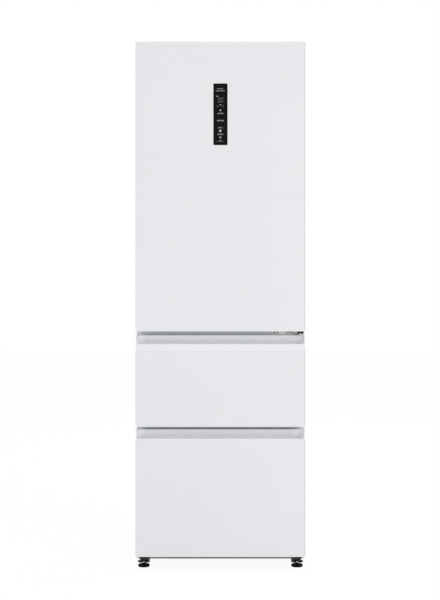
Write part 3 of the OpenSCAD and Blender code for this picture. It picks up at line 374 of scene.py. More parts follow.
def round_corners(width, height, radius, steps=6):
    """Outline of a rectangle with round corners about the origin, as (u, v) pairs."""
    outline = []
    for corner in range(4):
        middle_u = (width / 2 - radius) * (1 if corner in (0, 3) else -1)
        middle_v = (height / 2 - radius) * (1 if corner in (0, 1) else -1)
        for step in range(steps + 1):
            turn = math.radians(90 * corner + 90 * step / steps)
            outline.append((middle_u + radius * math.cos(turn), middle_v + radius * math.sin(turn)))
    return outline


def loft(shape, rings, ends="capped"):
    """Joins rings of equally many points into a skin; its ends are capped, or joined to each other."""
    made = [[shape.verts.new(point) for point in ring] for ring in rings]
    count = len(made[0])
    for ring, following in zip(made, made[1:] + (made[:1] if ends == "joined" else [])):
        for i in range(count):
            j = (i + 1) % count
            shape.faces.new((ring[i], ring[j], following[j], following[i]))
    if ends == "capped":
        shape.faces.new(made[0])
        shape.faces.new(list(reversed(made[-1])))
    return made


display_w = display_high.x - display_low.x
display_h = display_high.z - display_low.z
panel = bmesh.new()
rings = []
for inset, depth in ((glass_edge, 0.0), (0.0, glass_edge), (0.0, pane_t), (housing_inset, pane_t),
                     (housing_inset, housing_d)):
    outline = round_corners(display_w - 2 * inset, display_h - 2 * inset, glass_corner - inset)
    rings.append([(display_middle.x + u, display_face + depth, display_middle.z + v) for u, v in outline])
loft(panel, rings)
display_black, tree, shader = shader_of("display_black_glass", (0.0046, 0.0046, 0.0045), 0.12)
shader.inputs["Specular IOR Level"].default_value = 0.07
vary(tree, shader, "Roughness", grain(tree, 24.0), 0.09, 0.16)
relief(tree, shader, grain(tree, 9.0), 0.04, 0.0002)
display_piece = link_piece("display_window", panel, "fridge_door", display_black, smooth=True)
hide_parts("display_glass")


def hoop(shape, low, high, radius, profile):
    """Runs a closed profile of (inset, y) points round an upright rectangle with round corners."""
    middle = (low + high) / 2
    rings = []
    for inset, y in profile:
        size = high - low - Vector((2 * inset, 0, 2 * inset))
        outline = round_corners(size.x, size.z, max(radius - inset, 0.0006))
        rings.append([(middle.x + u, y, middle.z + v) for u, v in outline])
    loft(shape, rings, ends="joined")


seal_black, tree, shader = shader_of("display_seal_black", (0.006, 0.006, 0.006), 0.6)
vary(tree, shader, "Roughness", grain(tree, 200.0), 0.5, 0.7)
seal_front = display_face + glass_edge
seal_back = display_face + pane_t
display_seal = bmesh.new()
hoop(display_seal, display_low, display_high, glass_corner,
     [(-0.0003, seal_front), (0.0001, seal_front), (0.0001, seal_back), (-0.0003, seal_back)])
link_piece("display_seal", display_seal, "fridge_door", seal_black)


def printed(name, tone, glow):
    """White ink under the glass, lit from behind by glow."""
    made, tree, shader = shader_of(name, (tone, tone, tone * 1.02), 0.5)
    shader.inputs["Specular IOR Level"].default_value = 0.1
    shader.inputs["Emission Color"].default_value = (0.90, 0.93, 1.0, 1.0)
    shader.inputs["Emission Strength"].default_value = glow
    vary(tree, shader, "Roughness", grain(tree, 300.0), 0.45, 0.55)
    return made


caption_ink = printed("display_caption_ink", 0.26, 0.03)
digit_ink = printed("display_digit_ink", 0.20, 0.02)
symbol_ink = printed("display_symbol_ink", 0.48, 0.08)

mark_t = 0.00008
mark_face = display_face - mark_t
dash_share = 0.72


def bar(shape, x, drop, width, height):
    """A flat printed bar, centred x from the glass's middle and drop below its top."""
    u = display_middle.x + x
    v = display_high.z - drop
    lift = Matrix.Translation((u, mark_face + mark_t / 2, v)) @ Matrix.Diagonal((width, mark_t, height, 1.0))
    bmesh.ops.create_cube(shape, size=1.0, matrix=lift)


def ring_mark(shape, x, drop, radius, line, start=0.0, sweep=360.0, steps=20):
    """A flat printed arc or ring."""
    u = display_middle.x + x
    v = display_high.z - drop
    whole = sweep >= 360.0
    count = steps if whole else steps + 1
    inner = radius - line
    turns = [math.radians(start + sweep * i / steps) for i in range(count)]
    loops = []
    for r, y in ((radius, mark_face), (inner, mark_face), (inner, display_face), (radius, display_face)):
        loops.append([shape.verts.new((u + r * math.cos(t), y, v + r * math.sin(t))) for t in turns])
    for i in range(steps):
        j = (i + 1) % count
        for k in range(4):
            near, far = loops[k], loops[(k + 1) % 4]
            shape.faces.new((near[i], near[j], far[j], far[i]))
    if not whole:
        shape.faces.new([loop[0] for loop in loops])
        shape.faces.new([loop[-1] for loop in reversed(loops)])


def dashes(shape, x, drop, width, height, count):
    """A row of equal dashes that marks a control."""
    pitch = width / count
    for i in range(count):
        bar(shape, x - width / 2 + pitch * (i + 0.5), drop, pitch * dash_share, height)


def digit(shape, x, drop, lit):
    """A seven-bar numeral; lit names the bars that show."""
    width = 0.0062
    half = 0.0165 / 2
    line = 0.0013
    across_l = width - 1.3 * line
    upright_l = half - 1.3 * line
    places = {
        "top": (0, -half, across_l, line),
        "middle": (0, 0, across_l, line),
        "bottom": (0, half, across_l, line),
        "upper_left": (-width / 2, -half / 2, line, upright_l),
        "upper_right": (width / 2, -half / 2, line, upright_l),
        "lower_left": (-width / 2, half / 2, line, upright_l),
        "lower_right": (width / 2, half / 2, line, upright_l),
    }
    for name in lit:
        across, down, w, h = places[name]
        bar(shape, x + across, drop + down, w, h)


captions = bmesh.new()
caption_rows = (   # middle, drop below the glass's top, width, height, dashes
    (-0.0010, 0.0179, 0.0220, 0.0026, 7),
    (-0.0007, 0.0254, 0.0310, 0.0034, 9),
    (-0.0002, 0.0749, 0.0090, 0.0036, 3),
    (-0.0001, 0.1045, 0.0206, 0.0036, 5),
    (0.0002, 0.1297, 0.0245, 0.0046, 6),
    (-0.0007, 0.1540, 0.0130, 0.0032, 4),
    (-0.0005, 0.1774, 0.0190, 0.0040, 5),
    (-0.0005, 0.2007, 0.0098, 0.0038, 3),
)
for row in caption_rows:
    dashes(captions, *row)
bracket_r = 0.0062
for x, start in ((-0.0060, 150), (0.0048, -80)):
    ring_mark(captions, x, 0.0775, bracket_r, 0.0007, start=start, sweep=110)
smile_r = 0.025
for drop in (0.1045, 0.1540, 0.1774, 0.2007):
    for start in (270 - 29, 270 + 14):
        ring_mark(captions, -0.0004, drop + 0.0046 - smile_r, smile_r, 0.0005, start=start, sweep=15, steps=5)
link_piece("display_captions", captions, "fridge_door", caption_ink)

digits = bmesh.new()
digits_drop = 0.0579
digit(digits, -0.0045, digits_drop, ("top", "bottom", "upper_left", "upper_right", "lower_left", "lower_right"))
digit(digits, 0.0050, digits_drop, ("top", "middle", "bottom", "upper_left", "lower_right"))
ring_mark(digits, 0.0114, 0.0512, 0.0018, 0.0009)
link_piece("display_digits", digits, "fridge_door", digit_ink)

symbols = bmesh.new()
dashes(symbols, -0.0114, 0.0448, 0.006, 0.0030, 2)
# A flake: three spokes through one middle.
flake = Matrix.Translation((display_middle.x - 0.0002, mark_face + mark_t / 2, display_high.z - 0.0936))
spoke = Matrix.Diagonal((0.0068, mark_t, 0.0015, 1.0))
for turn in range(3):
    turned = Matrix.Rotation(math.radians(60 * turn), 4, "Y")
    bmesh.ops.create_cube(symbols, size=1.0, matrix=flake @ turned @ spoke)
# A timer with its crown, then a plain ring.
ring_mark(symbols, -0.0007, 0.1655, 0.0040, 0.0030)
bar(symbols, 0.0005, 0.1605, 0.0035, 0.0012)
ring_mark(symbols, -0.0005, 0.1885, 0.0034, 0.0013)
link_piece("display_symbols", symbols, "fridge_door", symbol_ink)

# Door end caps and hinge bushes
# Plastic mouldings close the folded skin at the top and at the bottom of the door. Each holds a
# black acetal bush for its hinge pin, pressed in from the outside, and plugs close the foam's ports.

end_cap_grey = moulded("end_cap_grey", (0.70, 0.71, 0.73), 0.45, texture=0.15)
dress(end_cap_grey, "door_top_cap", "door_bottom_cap")
soften(0.0008, "door_top_cap", "door_bottom_cap")
bush_black = moulded("acetal_black", (0.011, 0.011, 0.012), 0.35)
dress(bush_black, "hinge_bushes")

top_cap_low, top_cap_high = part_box("door_top_cap")
cap_middle_y = (top_cap_low.y + top_cap_high.y) / 2
port_places = (-0.235, -0.02, 0.165)
plug_profile = ((0.0062, -0.0005), (0.0062, 0.0003), (0.0056, 0.0008), (0.0030, 0.0008), (0.0026, 0.0005))
plug_turns = [math.tau * k / 28 for k in range(28)]
cap_plugs = bmesh.new()
for x in port_places:
    loft(cap_plugs, [[(x + r * math.cos(t), cap_middle_y + r * math.sin(t), top_cap_high.z + z)
                      for t in plug_turns] for r, z in plug_profile])
link_piece("top_cap_plugs", cap_plugs, "fridge_door", end_cap_grey, smooth=True)

# Hinges and their screws
# Stamped steel plates, zinc plated, with the door's pins riveted in. The middle one is screwed to
# the cross rail and carries the door; the top one lies under a plastic cover on the cabinet.


def plated(name, colour, roughness, streak=(1.0, 1.0, 0.06), metallic=0.85, spread=0.07, scratch=0.10):
    """Zinc-plated or drawn steel: a slow cloud in the tone, drawn streaks, fine scratches."""
    made, tree, shader = shader_of(name, colour, roughness, metallic=metallic)
    vary(tree, shader, "Base Color", grain(tree, 14.0, 3.0), scaled(colour, 0.95), scaled(colour, 1.03))
    vary(tree, shader, "Roughness", grain(tree, 240.0, 3.0, streak), roughness - spread, roughness + spread)
    relief(tree, shader, grain(tree, 900.0, 2.0, streak), scratch, 0.0001)
    return made


hinge_zinc = plated("hinge_zinc", (0.68, 0.675, 0.67), 0.34)
dress(hinge_zinc, "middle_hinge", "top_hinge")
soften(0.0003, "middle_hinge", "top_hinge")
screw_chrome = plated("screw_chrome", (0.86, 0.86, 0.86), 0.18)
screw_zinc = plated("screw_zinc", (0.40, 0.40, 0.40), 0.30)
dress(screw_zinc, "hinge_screws")

# Closer cam and slot shade pad
# Under the door's corner the black bush carries a wedge that rides down in front of the hinge's arm
# and pulls the door shut. A dark rubber pad behind the plate's slot is painted shade for the slot,
# and it also hides the foam behind it.

door_axis = Vector(next(joint for joint in frame["joints"] if joint["name"] == "door_hinge")["pos_m"])
door_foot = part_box("door_bottom_cap")[0].z
plate_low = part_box("middle_hinge")[0]
rail_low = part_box("mullion_rails")[0]


def slab_along_y(shape, outline, y0, y1, edge=0.0004):
    """Runs a closed X-Z outline from y0 to y1 and draws its front rim in a little."""
    u = sum(x for x, z in outline) / len(outline)
    v = sum(z for x, z in outline) / len(outline)
    reach = max(abs(x - u) for x, z in outline)
    rings = []
    for y, shrink in ((y0, 1 - edge / reach), (y0 + edge, 1.0), (y1, 1.0)):
        rings.append([(u + (x - u) * shrink, y, v + (z - v) * shrink) for x, z in outline])
    loft(shape, rings)


cam = bmesh.new()
cam_front = door_axis.y - 0.018
cam_back = door_axis.y - 0.0126
wedge = [(-0.0034, 0.0), (-0.0034, -0.0040), (0.0012, -0.0090), (0.0022, -0.0097), (0.0042, -0.0097),
         (0.0052, -0.0090), (0.0105, -0.0034), (0.0105, 0.0)]
slab_along_y(cam, [(door_axis.x + x, door_foot + z) for x, z in wedge], cam_front, cam_back)
stop = [(-0.0112, 0.0), (-0.0112, -0.0085), (-0.0104, -0.0093), (-0.0084, -0.0093), (-0.0076, -0.0085),
        (-0.0076, 0.0)]
slab_along_y(cam, [(door_axis.x + x, door_foot + z) for x, z in stop], cam_front, cam_back)
link_piece("closer_cam", cam, "fridge_door", bush_black)

# A dark pad behind the hinge plate's slot: painted shade in the slot, which also hides the foam.
slot_shade_rubber = moulded("slot_shade_rubber", (0.11, 0.11, 0.112), 0.6)
slot_shade_pad = bmesh.new()
pad = [(plate_low.x + 0.0075 + u, plate_low.z + 0.0120 + v)
       for u, v in round_corners(0.008, 0.013, 0.003, steps=4)]
slab_along_y(slot_shade_pad, pad, rail_low.y + 0.0012, rail_low.y + 0.0030)
link_piece("hinge_slot_shade", slot_shade_pad, "cabinet", slot_shade_rubber)

# Top hinge cover
# A moulded hood in the case's colour hides the hinge plate. It clips on at the front and is held
# by one screw in a round well at its back, and its front falls away in a quarter round.

cover_plastic = moulded("hinge_cover_white", (0.76, 0.77, 0.79), 0.40, texture=0.12)
hood_low, hood_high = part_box("top_hinge_cover")
hood_h = hood_high.z - hood_low.z
hood_wall = 0.002
hood_roof = 0.0055
well_inset = 0.018
well_middle = Vector((hood_low.x + well_inset, hood_high.y - well_inset, 0))
well_turns = [math.tau * (k + 0.5) / 28 for k in range(28)]


def hood_ring(z, inset):
    """The hood's outline at a height over its foot, drawn in by inset all round."""
    fall = hood_h - math.sqrt(max(0.0, hood_h ** 2 - z ** 2))
    y0 = hood_low.y + max(fall, inset)
    y1 = hood_high.y - inset
    outline = round_corners(hood_high.x - hood_low.x - 2 * inset, y1 - y0, 0.003)
    middle_x = (hood_low.x + hood_high.x) / 2
    return [(middle_x + u, (y0 + y1) / 2 + v, hood_low.z + z) for u, v in outline]


hood = bmesh.new()
rings = [hood_ring(hood_h - hood_roof, hood_wall), hood_ring(0.0, hood_wall)]
rings += [hood_ring(z, 0.0) for z in (0.0, 0.003, 0.006, 0.0085, 0.0100)]
rings += [hood_ring(0.0110, 0.0003), hood_ring(0.0117, 0.0008), hood_ring(hood_h, 0.0016)]
well_floor = hood_h - 0.0045
for r, z in ((0.0078, hood_h), (0.0072, hood_h - 0.0006), (0.0066, well_floor)):
    rings.append([(well_middle.x + r * math.cos(t), well_middle.y + r * math.sin(t), hood_low.z + z)
                  for t in well_turns])
loft(hood, rings)
hood_piece = link_piece("hinge_hood", hood, "cabinet", cover_plastic, smooth=True)
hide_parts("top_hinge_cover")

# Cabinet shell and front rails
# The outer case is one painted sheet bent over the sides and the top, with flanges round the front
# that the magnetic gaskets close on. Between the fronts, cross rails of coated sheet close it.

case_paint = sprayed_paint("case_white_paint", (0.78, 0.79, 0.81), 0.42, peel=0.25)
dress(case_paint, "cabinet_shell")
rail_paint = plated("rail_coated_steel", (0.60, 0.62, 0.645), 0.36, streak=(0.2, 1.0, 1.0), metallic=0.6,
                    spread=0.02, scratch=0.015)
dress(rail_paint, "mullion_rails")

# Rear panel and compressor cover
# The back is a flat sheet of galvanised steel with four stiffening ribs, and below it a slotted
# sheet cover is screwed over the compressor space. Pan-head screws hold both to the shell, and a
# strip of grey tape closes the seam between them.

galvanised, tree, shader = shader_of("galvanised_sheet", (0.56, 0.57, 0.58), 0.45, metallic=0.8)
spangle = tree.nodes.new("ShaderNodeTexVoronoi")
spangle.inputs["Scale"].default_value = 75.0
spangle_place = tree.nodes.new("ShaderNodeTexCoord")
tree.links.new(spangle_place.outputs["Object"], spangle.inputs["Vector"])
vary(tree, shader, "Base Color", spangle.outputs["Color"], (0.53, 0.54, 0.55), (0.58, 0.59, 0.60))
vary(tree, shader, "Roughness", spangle.outputs["Color"], 0.40, 0.54)
relief(tree, shader, grain(tree, 600.0), 0.08, 0.0001)
dress(galvanised, "rear_panel", "compressor_cover", "bottom_deck")


def cross_screw(shape, place, outward, radius=0.0042, height=0.0022):
    """A pan-head screw's head with a cross recess; outward is the way that it faces."""
    turn = Vector((0, 0, 1)).rotation_difference(Vector(outward)).to_matrix().to_4x4()
    stand = Matrix.Translation(place) @ turn
    count = 24
    turns = [math.tau * i / count for i in range(count)]
    rings = []
    for r, z in ((1.0, 0.0), (1.0, 0.35), (0.86, 0.75), (0.62, 1.0)):
        rings.append([(r * radius * math.cos(t), r * radius * math.sin(t), z * height) for t in turns])
    # The recess is a cross of four arms, sunk from the head's top.
    for z in (1.0, 0.35):
        ring = []
        for i, angle in enumerate(turns):
            reach = 0.50 if i % 6 in (0, 1, 5) else 0.20
            if i % 6 in (1, 5):
                angle = math.tau * round(i / 6) / 4 + (0.28 if i % 6 == 1 else -0.28)
            ring.append((reach * radius * math.cos(angle), reach * radius * math.sin(angle), z * height))
        rings.append(ring)
    made = loft(shape, rings)
    for ring in made:
        for vert in ring:
            vert.co = stand @ vert.co


def strip_along_x(shape, x0, x1, outline):
    """Runs a closed Y-Z outline along X between two capped ends."""
    loft(shape, [[(x, y, z) for y, z in outline] for x in (x0, x1)])


panel_low, panel_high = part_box("rear_panel")
cover_low, cover_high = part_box("compressor_cover")
foam_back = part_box("insulation")[1].y
tape_grey = moulded("tape_grey", (0.22, 0.22, 0.225), 0.6)
tape_front = foam_back + 0.00005
tape_back = foam_back + 0.00045
tape_foot = cover_high.z + 0.0001
tape_top = panel_low.z - 0.0001
tape = bmesh.new()
strip_along_x(tape, panel_low.x + 0.0002, panel_high.x - 0.0002,
              [(tape_front, tape_foot), (tape_back, tape_foot), (tape_back, tape_top), (tape_front, tape_top)])
link_piece("seam_tape", tape, "cabinet", tape_grey)

backwards = (0, 1, 0)
screw_columns = (-0.282, -0.098, 0.098, 0.282)
side_screw_x = 0.287
screw_edge = 0.012
panel_edge = 0.05
rear_screws = bmesh.new()
for x in screw_columns:
    for z in (cover_low.z + screw_edge, cover_high.z - screw_edge, panel_high.z - screw_edge):
        cross_screw(rear_screws, (x, cover_high.y, z), backwards)
for side in (-1, 1):
    for step in range(5):
        z = panel_low.z + panel_edge + step * (panel_high.z - panel_low.z - 2 * panel_edge) / 4
        cross_screw(rear_screws, (side * side_screw_x, cover_high.y, z), backwards)
cross_screw(rear_screws, (well_middle.x, well_middle.y, hood_low.z + well_floor), (0, 0, 1), 0.0044, 0.0024)
link_piece("rear_screws", rear_screws, "cabinet", screw_chrome, smooth=True)

# Base pan, feet and rollers
# The pan is dark coated sheet. Black glossy moulded feet stand on round pads: a threaded steel
# screw with a notched wheel runs up into a bowl-shaped nut housing. Two rollers carry the back.

pan_paint = sprayed_paint("pan_grey_paint", (0.275, 0.275, 0.277), 0.5)
dress(pan_paint, "base_pan")
foot_black = moulded("foot_black", (0.006, 0.006, 0.006), 0.2, texture=0.05, gloss=0.3)
dress(foot_black, "foot_bosses", "left_foot_wheel", "right_foot_wheel")
pad_black = moulded("pad_black", (0.004, 0.004, 0.004), 0.55, texture=0.2, gloss=0.08)
dress(pad_black, "foot_pads")
soften(0.0005, "foot_pads", "left_foot_wheel", "right_foot_wheel")
roller_nylon = moulded("roller_nylon", (0.03, 0.03, 0.032), 0.4)
dress(roller_nylon, "left_roller", "right_roller")
soften(0.0006, "left_roller", "right_roller")

thread_steel = plated("thread_steel", (0.80, 0.80, 0.81), 0.2)


def thread(shape, middle, low, high, root, crest, pitch, segments=24):
    """A screw thread as one helical skin round an upright axis, closed over at both ends."""
    rows = int((high - low - pitch) / pitch) * 2
    grid = []
    for i in range(segments):
        angle = math.tau * i / segments
        column = []
        for j in range(rows + 1):
            r = crest if j % 2 else root
            x, y = middle.x + r * math.cos(angle), middle.y + r * math.sin(angle)
            column.append(shape.verts.new((x, y, low + (j / 2 + i / segments) * pitch)))
        grid.append(column)
    for i in range(segments):
        wrap = i == segments - 1
        other = grid[0] if wrap else grid[i + 1]
        shift = 2 if wrap else 0
        for j in range(rows - shift):
            shape.faces.new((grid[i][j], other[j + shift], other[j + 1 + shift], grid[i][j + 1]))
    bmesh.ops.holes_fill(shape, edges=[edge for edge in shape.edges if edge.is_boundary], sides=0)


boss_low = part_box("foot_bosses")[0]
pan_low, pan_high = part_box("base_pan")
pad_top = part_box("foot_pads")[1].z
screw_root = 0.00402
screw_crest = 0.0045
screw_pitch = 0.00125
screw_l = 0.0076
nut_h = 0.0062
bowl_half = 0.0198
bowl_drop = 0.0128
bowl_top = pan_high.z - 0.0018
bowl_shift = 0.003
bowl_profile = ((0.0034, 1.0), (0.0, 1.0), (-0.0022, 0.95), (-0.0042, 0.84), (-0.0058, 0.68),
                (-0.0068, 0.45), (-0.0072, 0.2))
hexagon = [math.radians(-97 + 60 * i) for i in range(6)]
lower_half = [math.pi * (1 + k / 24) for k in range(25)]
for side, inward in (("left", 1), ("right", -1)):
    wheel_low, wheel_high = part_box(f"{side}_foot_wheel")
    axis = (wheel_low + wheel_high) / 2
    threaded = bmesh.new()
    thread(threaded, axis, pad_top + 0.0001, pad_top + screw_l, screw_root, screw_crest, screw_pitch)
    link_piece(f"{side}_foot_thread", threaded, f"{side}_foot_wheel", thread_steel, smooth=True)
    nut = bmesh.new()
    nut_foot = boss_low.z - 0.0004 - nut_h
    nut_rings = []
    for r, z in ((0.0069, 0.0), (0.0076, 0.0006), (0.0076, nut_h - 0.0006), (0.0069, nut_h)):
        nut_rings.append([(axis.x + r * math.cos(t), axis.y + r * math.sin(t), nut_foot + z) for t in hexagon])
    loft(nut, nut_rings)
    link_piece(f"{side}_lock_nut", nut, f"{side}_foot_wheel", screw_chrome)
    bowl = bmesh.new()
    bowl_rings = []
    for y, reach in bowl_profile:
        bowl_rings.append([(axis.x + inward * bowl_shift + bowl_half * reach * math.cos(t), pan_low.y + y,
                            bowl_top + bowl_drop * reach * math.sin(t)) for t in lower_half])
    loft(bowl, bowl_rings)
    link_piece(f"{side}_foot_nose", bowl, "cabinet", foot_black, smooth=True)

# Fridge and freezer linings
# Both linings are drawn from white polystyrene sheet over a mould, with soft satin walls and
# moulded ledges that carry the shelves. The same sheet lines the door and the drawer fronts.

lining_white = moulded("lining_white", (0.88, 0.885, 0.89), 0.36, texture=0.08, texture_scale=600.0)
dress(lining_white, "fridge_liner", "freezer_liner", "door_liner", "middle_inner_panel", "lower_inner_panel")
soften(0.0012, "door_liner", "middle_inner_panel", "lower_inner_panel", "fridge_liner", "freezer_liner")
ducting_white = moulded("ducting_white", (0.85, 0.855, 0.86), 0.30, texture=0.12)
dress(ducting_white, "air_duct", "evaporator_cover", "drip_tray", "fan_blade")
soften(0.0008, "air_duct")

# Cold-air louvres
# Each outlet of the multi-flow duct has three slanted blades that turn the air down over its shelf.

blade_grey = moulded("louvre_grey", (0.62, 0.63, 0.65), 0.34)


def levels_of(name):
    """The heights at which a node has level faces, lowest first, in metres."""
    heights = {}
    for face in nodes[name].data.polygons:
        if abs(face.normal.z) > 0.999:
            heights[round(face.center.z, 4)] = heights.get(round(face.center.z, 4), 0.0) + face.area
    return [z for z, area in sorted(heights.items()) if area > 0.004]


duct_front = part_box("air_duct")[0].y
lid_tops = levels_of("drawer_lids")[1::2]
shelf_tops = levels_of("glass_shelves")[1::2]
louvres = bmesh.new()
outlet_w = 0.044
outlet_pitch = 0.060
blade_pitch = 0.0026
shelf_step = shelf_tops[1] - shelf_tops[0]
glass_t = shelf_tops[0] - levels_of("glass_shelves")[0]
for level in range(len(shelf_tops) + 1):
    outlet_z = lid_tops[-1] - glass_t + (level + 0.55) * shelf_step
    for column in (-1, 0, 1):
        x = column * outlet_pitch
        for row in (-1, 0, 1):
            z = outlet_z + row * blade_pitch
            blade = [(duct_front - 0.0008, z - 0.0016), (duct_front - 0.0004, z - 0.0021),
                     (duct_front + 0.0060, z + 0.0006), (duct_front + 0.0058, z + 0.0012)]
            strip_along_x(louvres, x - outlet_w / 2, x + outlet_w / 2, blade)
link_piece("duct_louvres", louvres, "cabinet", blade_grey)

# Ceiling light
# Behind a shallow opal lens in the fridge's ceiling sits a row of lamps. The lens is fluted along
# its length, so that the light spreads, and glows softly.

opal_lens, tree, shader = shader_of("opal_lens", (0.90, 0.90, 0.88), 0.3)
shader.inputs["Emission Color"].default_value = (1.0, 0.98, 0.93, 1.0)
shader.inputs["Emission Strength"].default_value = 0.9
vary(tree, shader, "Roughness", grain(tree, 40.0), 0.26, 0.34)
lens_low, lens_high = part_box("light_cover")
lens_half = (lens_high.x - lens_low.x) / 2
lens_flutes = 20
lens_sag = 0.0068
lens_flute_h = 0.0008
lens_rim = 0.0010
lens_outline = []
for i in range(2 * lens_flutes + 1):
    across = -1 + i / lens_flutes
    hang = lens_rim + (1 - across * across) * lens_sag + (0.0 if i % 2 else lens_flute_h)
    lens_outline.append((across * lens_half, lens_high.z - hang))
lens_outline += [(lens_half, lens_high.z), (-lens_half, lens_high.z)]
lens = bmesh.new()
lens_end = 0.003
rings = []
for y, shrink in ((lens_low.y, 0.94), (lens_low.y + lens_end, 1.0),
                  (lens_high.y - lens_end, 1.0), (lens_high.y, 0.94)):
    rings.append([(x * shrink, y, lens_high.z - (lens_high.z - z) * shrink) for x, z in lens_outline])
loft(lens, rings)
lens_piece = link_piece("light_lens", lens, "cabinet", opal_lens)
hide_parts("light_cover")

# Gaskets
# Soft vinyl extrusions welded into frames. A foot snaps into the groove of the front, a thin
# bellows takes up the gap, and the flat bulb holds the magnet strip that closes on the steel.

gasket_grey = moulded("gasket_grey", (0.60, 0.61, 0.63), 0.62, texture=0.3, texture_scale=500.0, gloss=0.25)
gasket_w = 0.014
gasket_corner = 0.008
for name, body in (("door", "fridge_door"), ("middle", "middle_drawer"), ("lower", "lower_drawer")):
    low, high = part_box(f"{name}_gasket")
    reach = high.y - low.y
    flank = [(0.0, 0.0), (0.0, 0.0016), (0.0034, 0.0022), (0.0034, 0.0034), (0.0012, 0.0042),
             (0.0012, 0.0050), (0.0036, 0.0060), (0.0012, 0.0068), (0.0008, 0.0080),
             (0.0008, reach - 0.0010), (0.0018, reach)]
    profile = [(inset, low.y + y) for inset, y in flank]
    profile += [(gasket_w - inset, low.y + y) for inset, y in reversed(flank)]
    seal = bmesh.new()
    hoop(seal, low, high, gasket_corner, profile)
    seal_piece = link_piece(f"{name}_seal", seal, body, gasket_grey, smooth=True)
    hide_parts(f"{name}_gasket")

# Glass shelves
# Toughened glass with a green edge sits in white moulded trims. A satin metal strip is pressed
# into the nose of each front trim.

shelf_glass, tree, shader = shader_of("shelf_glass", (0.80, 0.93, 0.88), 0.03)
shader.inputs["Alpha"].default_value = 0.28
shader.inputs["IOR"].default_value = 1.5
vary(tree, shader, "Roughness", grain(tree, 30.0), 0.01, 0.05)
dress(shelf_glass, "glass_shelves")
trim_white = moulded("trim_white", (0.82, 0.83, 0.84), 0.28)
dress(trim_white, "shelf_trims")
satin_strip = plated("satin_strip", (0.74, 0.75, 0.77), 0.25, streak=(0.04, 1.0, 1.0))

trim_low, trim_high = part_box("shelf_trims")
strips = bmesh.new()
for top in shelf_tops:
    middle_z = top - glass_t / 2
    nose = [(trim_low.y + 0.0012 + y, middle_z + z)
            for y, z in round_corners(0.0030, 0.0046, 0.0014, steps=3)]
    strip_along_x(strips, trim_low.x + 0.004, trim_high.x - 0.004, nose)
link_piece("shelf_strips", strips, "cabinet", satin_strip, smooth=True)

# Lids of the crisper and of the chill drawer
# Glass plates in a white moulded nose, which also carries the crisper's air slide: a grey knob with
# finger grips beside a row of dots that grow with the opening.

lid_low, lid_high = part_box("drawer_lids")
dress(shelf_glass, "drawer_lids")
nose_d = 0.011
nose_h = glass_t + 0.005
noses = bmesh.new()
for top in lid_tops:
    outline = [(lid_low.y + nose_d / 2 + y, top - nose_h / 2 + z)
               for y, z in round_corners(nose_d, nose_h, 0.003, steps=4)]
    strip_along_x(noses, lid_low.x, lid_high.x, outline)
link_piece("lid_noses", noses, "cabinet", trim_white, smooth=True)

slide_z = lid_tops[0] - nose_h / 2
knob_x = 0.012
dots_x = -0.030
slider = bmesh.new()


def button(shape, x, outline, levels):
    """Raises an outline on the nose by levels of depth, each with its own shrink."""
    loft(shape, [[(x + shrink * u, lid_low.y + y, slide_z + shrink * v) for u, v in outline]
                 for y, shrink in levels])


knob = round_corners(0.020, 0.0066, 0.002, steps=4)
button(slider, knob_x, knob, ((0.0010, 1.0), (-0.0008, 1.0), (-0.0016, 0.86)))
rib = round_corners(0.0010, 0.0040, 0.0004, steps=2)
for grip in (-0.006, -0.003, 0.0, 0.003, 0.006):
    button(slider, knob_x + grip, rib, ((-0.0014, 1.0), (-0.0020, 0.7)))
for i in range(5):
    dot_r = 0.0006 + 0.0003 * i
    dot = [(dot_r * math.cos(math.tau * k / 10), dot_r * math.sin(math.tau * k / 10)) for k in range(10)]
    button(slider, dots_x + i * 0.0055, dot, ((0.0005, 1.0), (-0.0002, 1.0)))
slide_grey = moulded("air_slide_grey", (0.20, 0.205, 0.21), 0.38)
link_piece("air_slide", slider, "cabinet", slide_grey)

# Crisper and chill drawer
# Both are moulded in clear polystyrene. A frosted frame stiffens the front, ribs run over the
# floor and down the sides, and a satin strip marks the handle's curl.

clear_poly, tree, shader = shader_of("clear_polystyrene", (0.91, 0.94, 0.955), 0.10)
shader.inputs["Alpha"].default_value = 0.15
shader.inputs["IOR"].default_value = 1.5
vary(tree, shader, "Roughness", grain(tree, 20.0), 0.07, 0.14)
relief(tree, shader, grain(tree, 40.0), 0.05, 0.0004)
frosted_poly, tree, shader = shader_of("frosted_polystyrene", (0.86, 0.90, 0.92), 0.35)
shader.inputs["Alpha"].default_value = 0.62
vary(tree, shader, "Roughness", grain(tree, 60.0), 0.30, 0.42)


def ridge(shape, start, end, up, width, height):
    """A tapered stiffening rib from start to end on a wall that looks along up."""
    start = Vector(start)
    end = Vector(end)
    up = Vector(up)
    along = (end - start).normalized()
    across = up.cross(along)
    rings = []
    for lift, half, trim in ((0.0, 0.50, 0.0), (0.7, 0.36, 0.5), (1.0, 0.16, 0.9)):
        near = start + along * trim * height + up * lift * height
        far = end - along * trim * height + up * lift * height
        side = across * half * width
        rings.append([near - side, near + side, far + side, far - side])
    loft(shape, rings)


def floor_ribs(shape, count, low, high, front_inset, floor_t, width):
    """Ribs that run front to back over a box's floor, evenly spaced across it."""
    margin = 0.03
    z = low.z + floor_t
    for i in range(count):
        x = low.x + margin + (high.x - low.x - 2 * margin) * i / (count - 1)
        ridge(shape, (x, low.y + front_inset, z), (x, high.y - 0.008, z), (0, 0, 1), width, 0.0014)


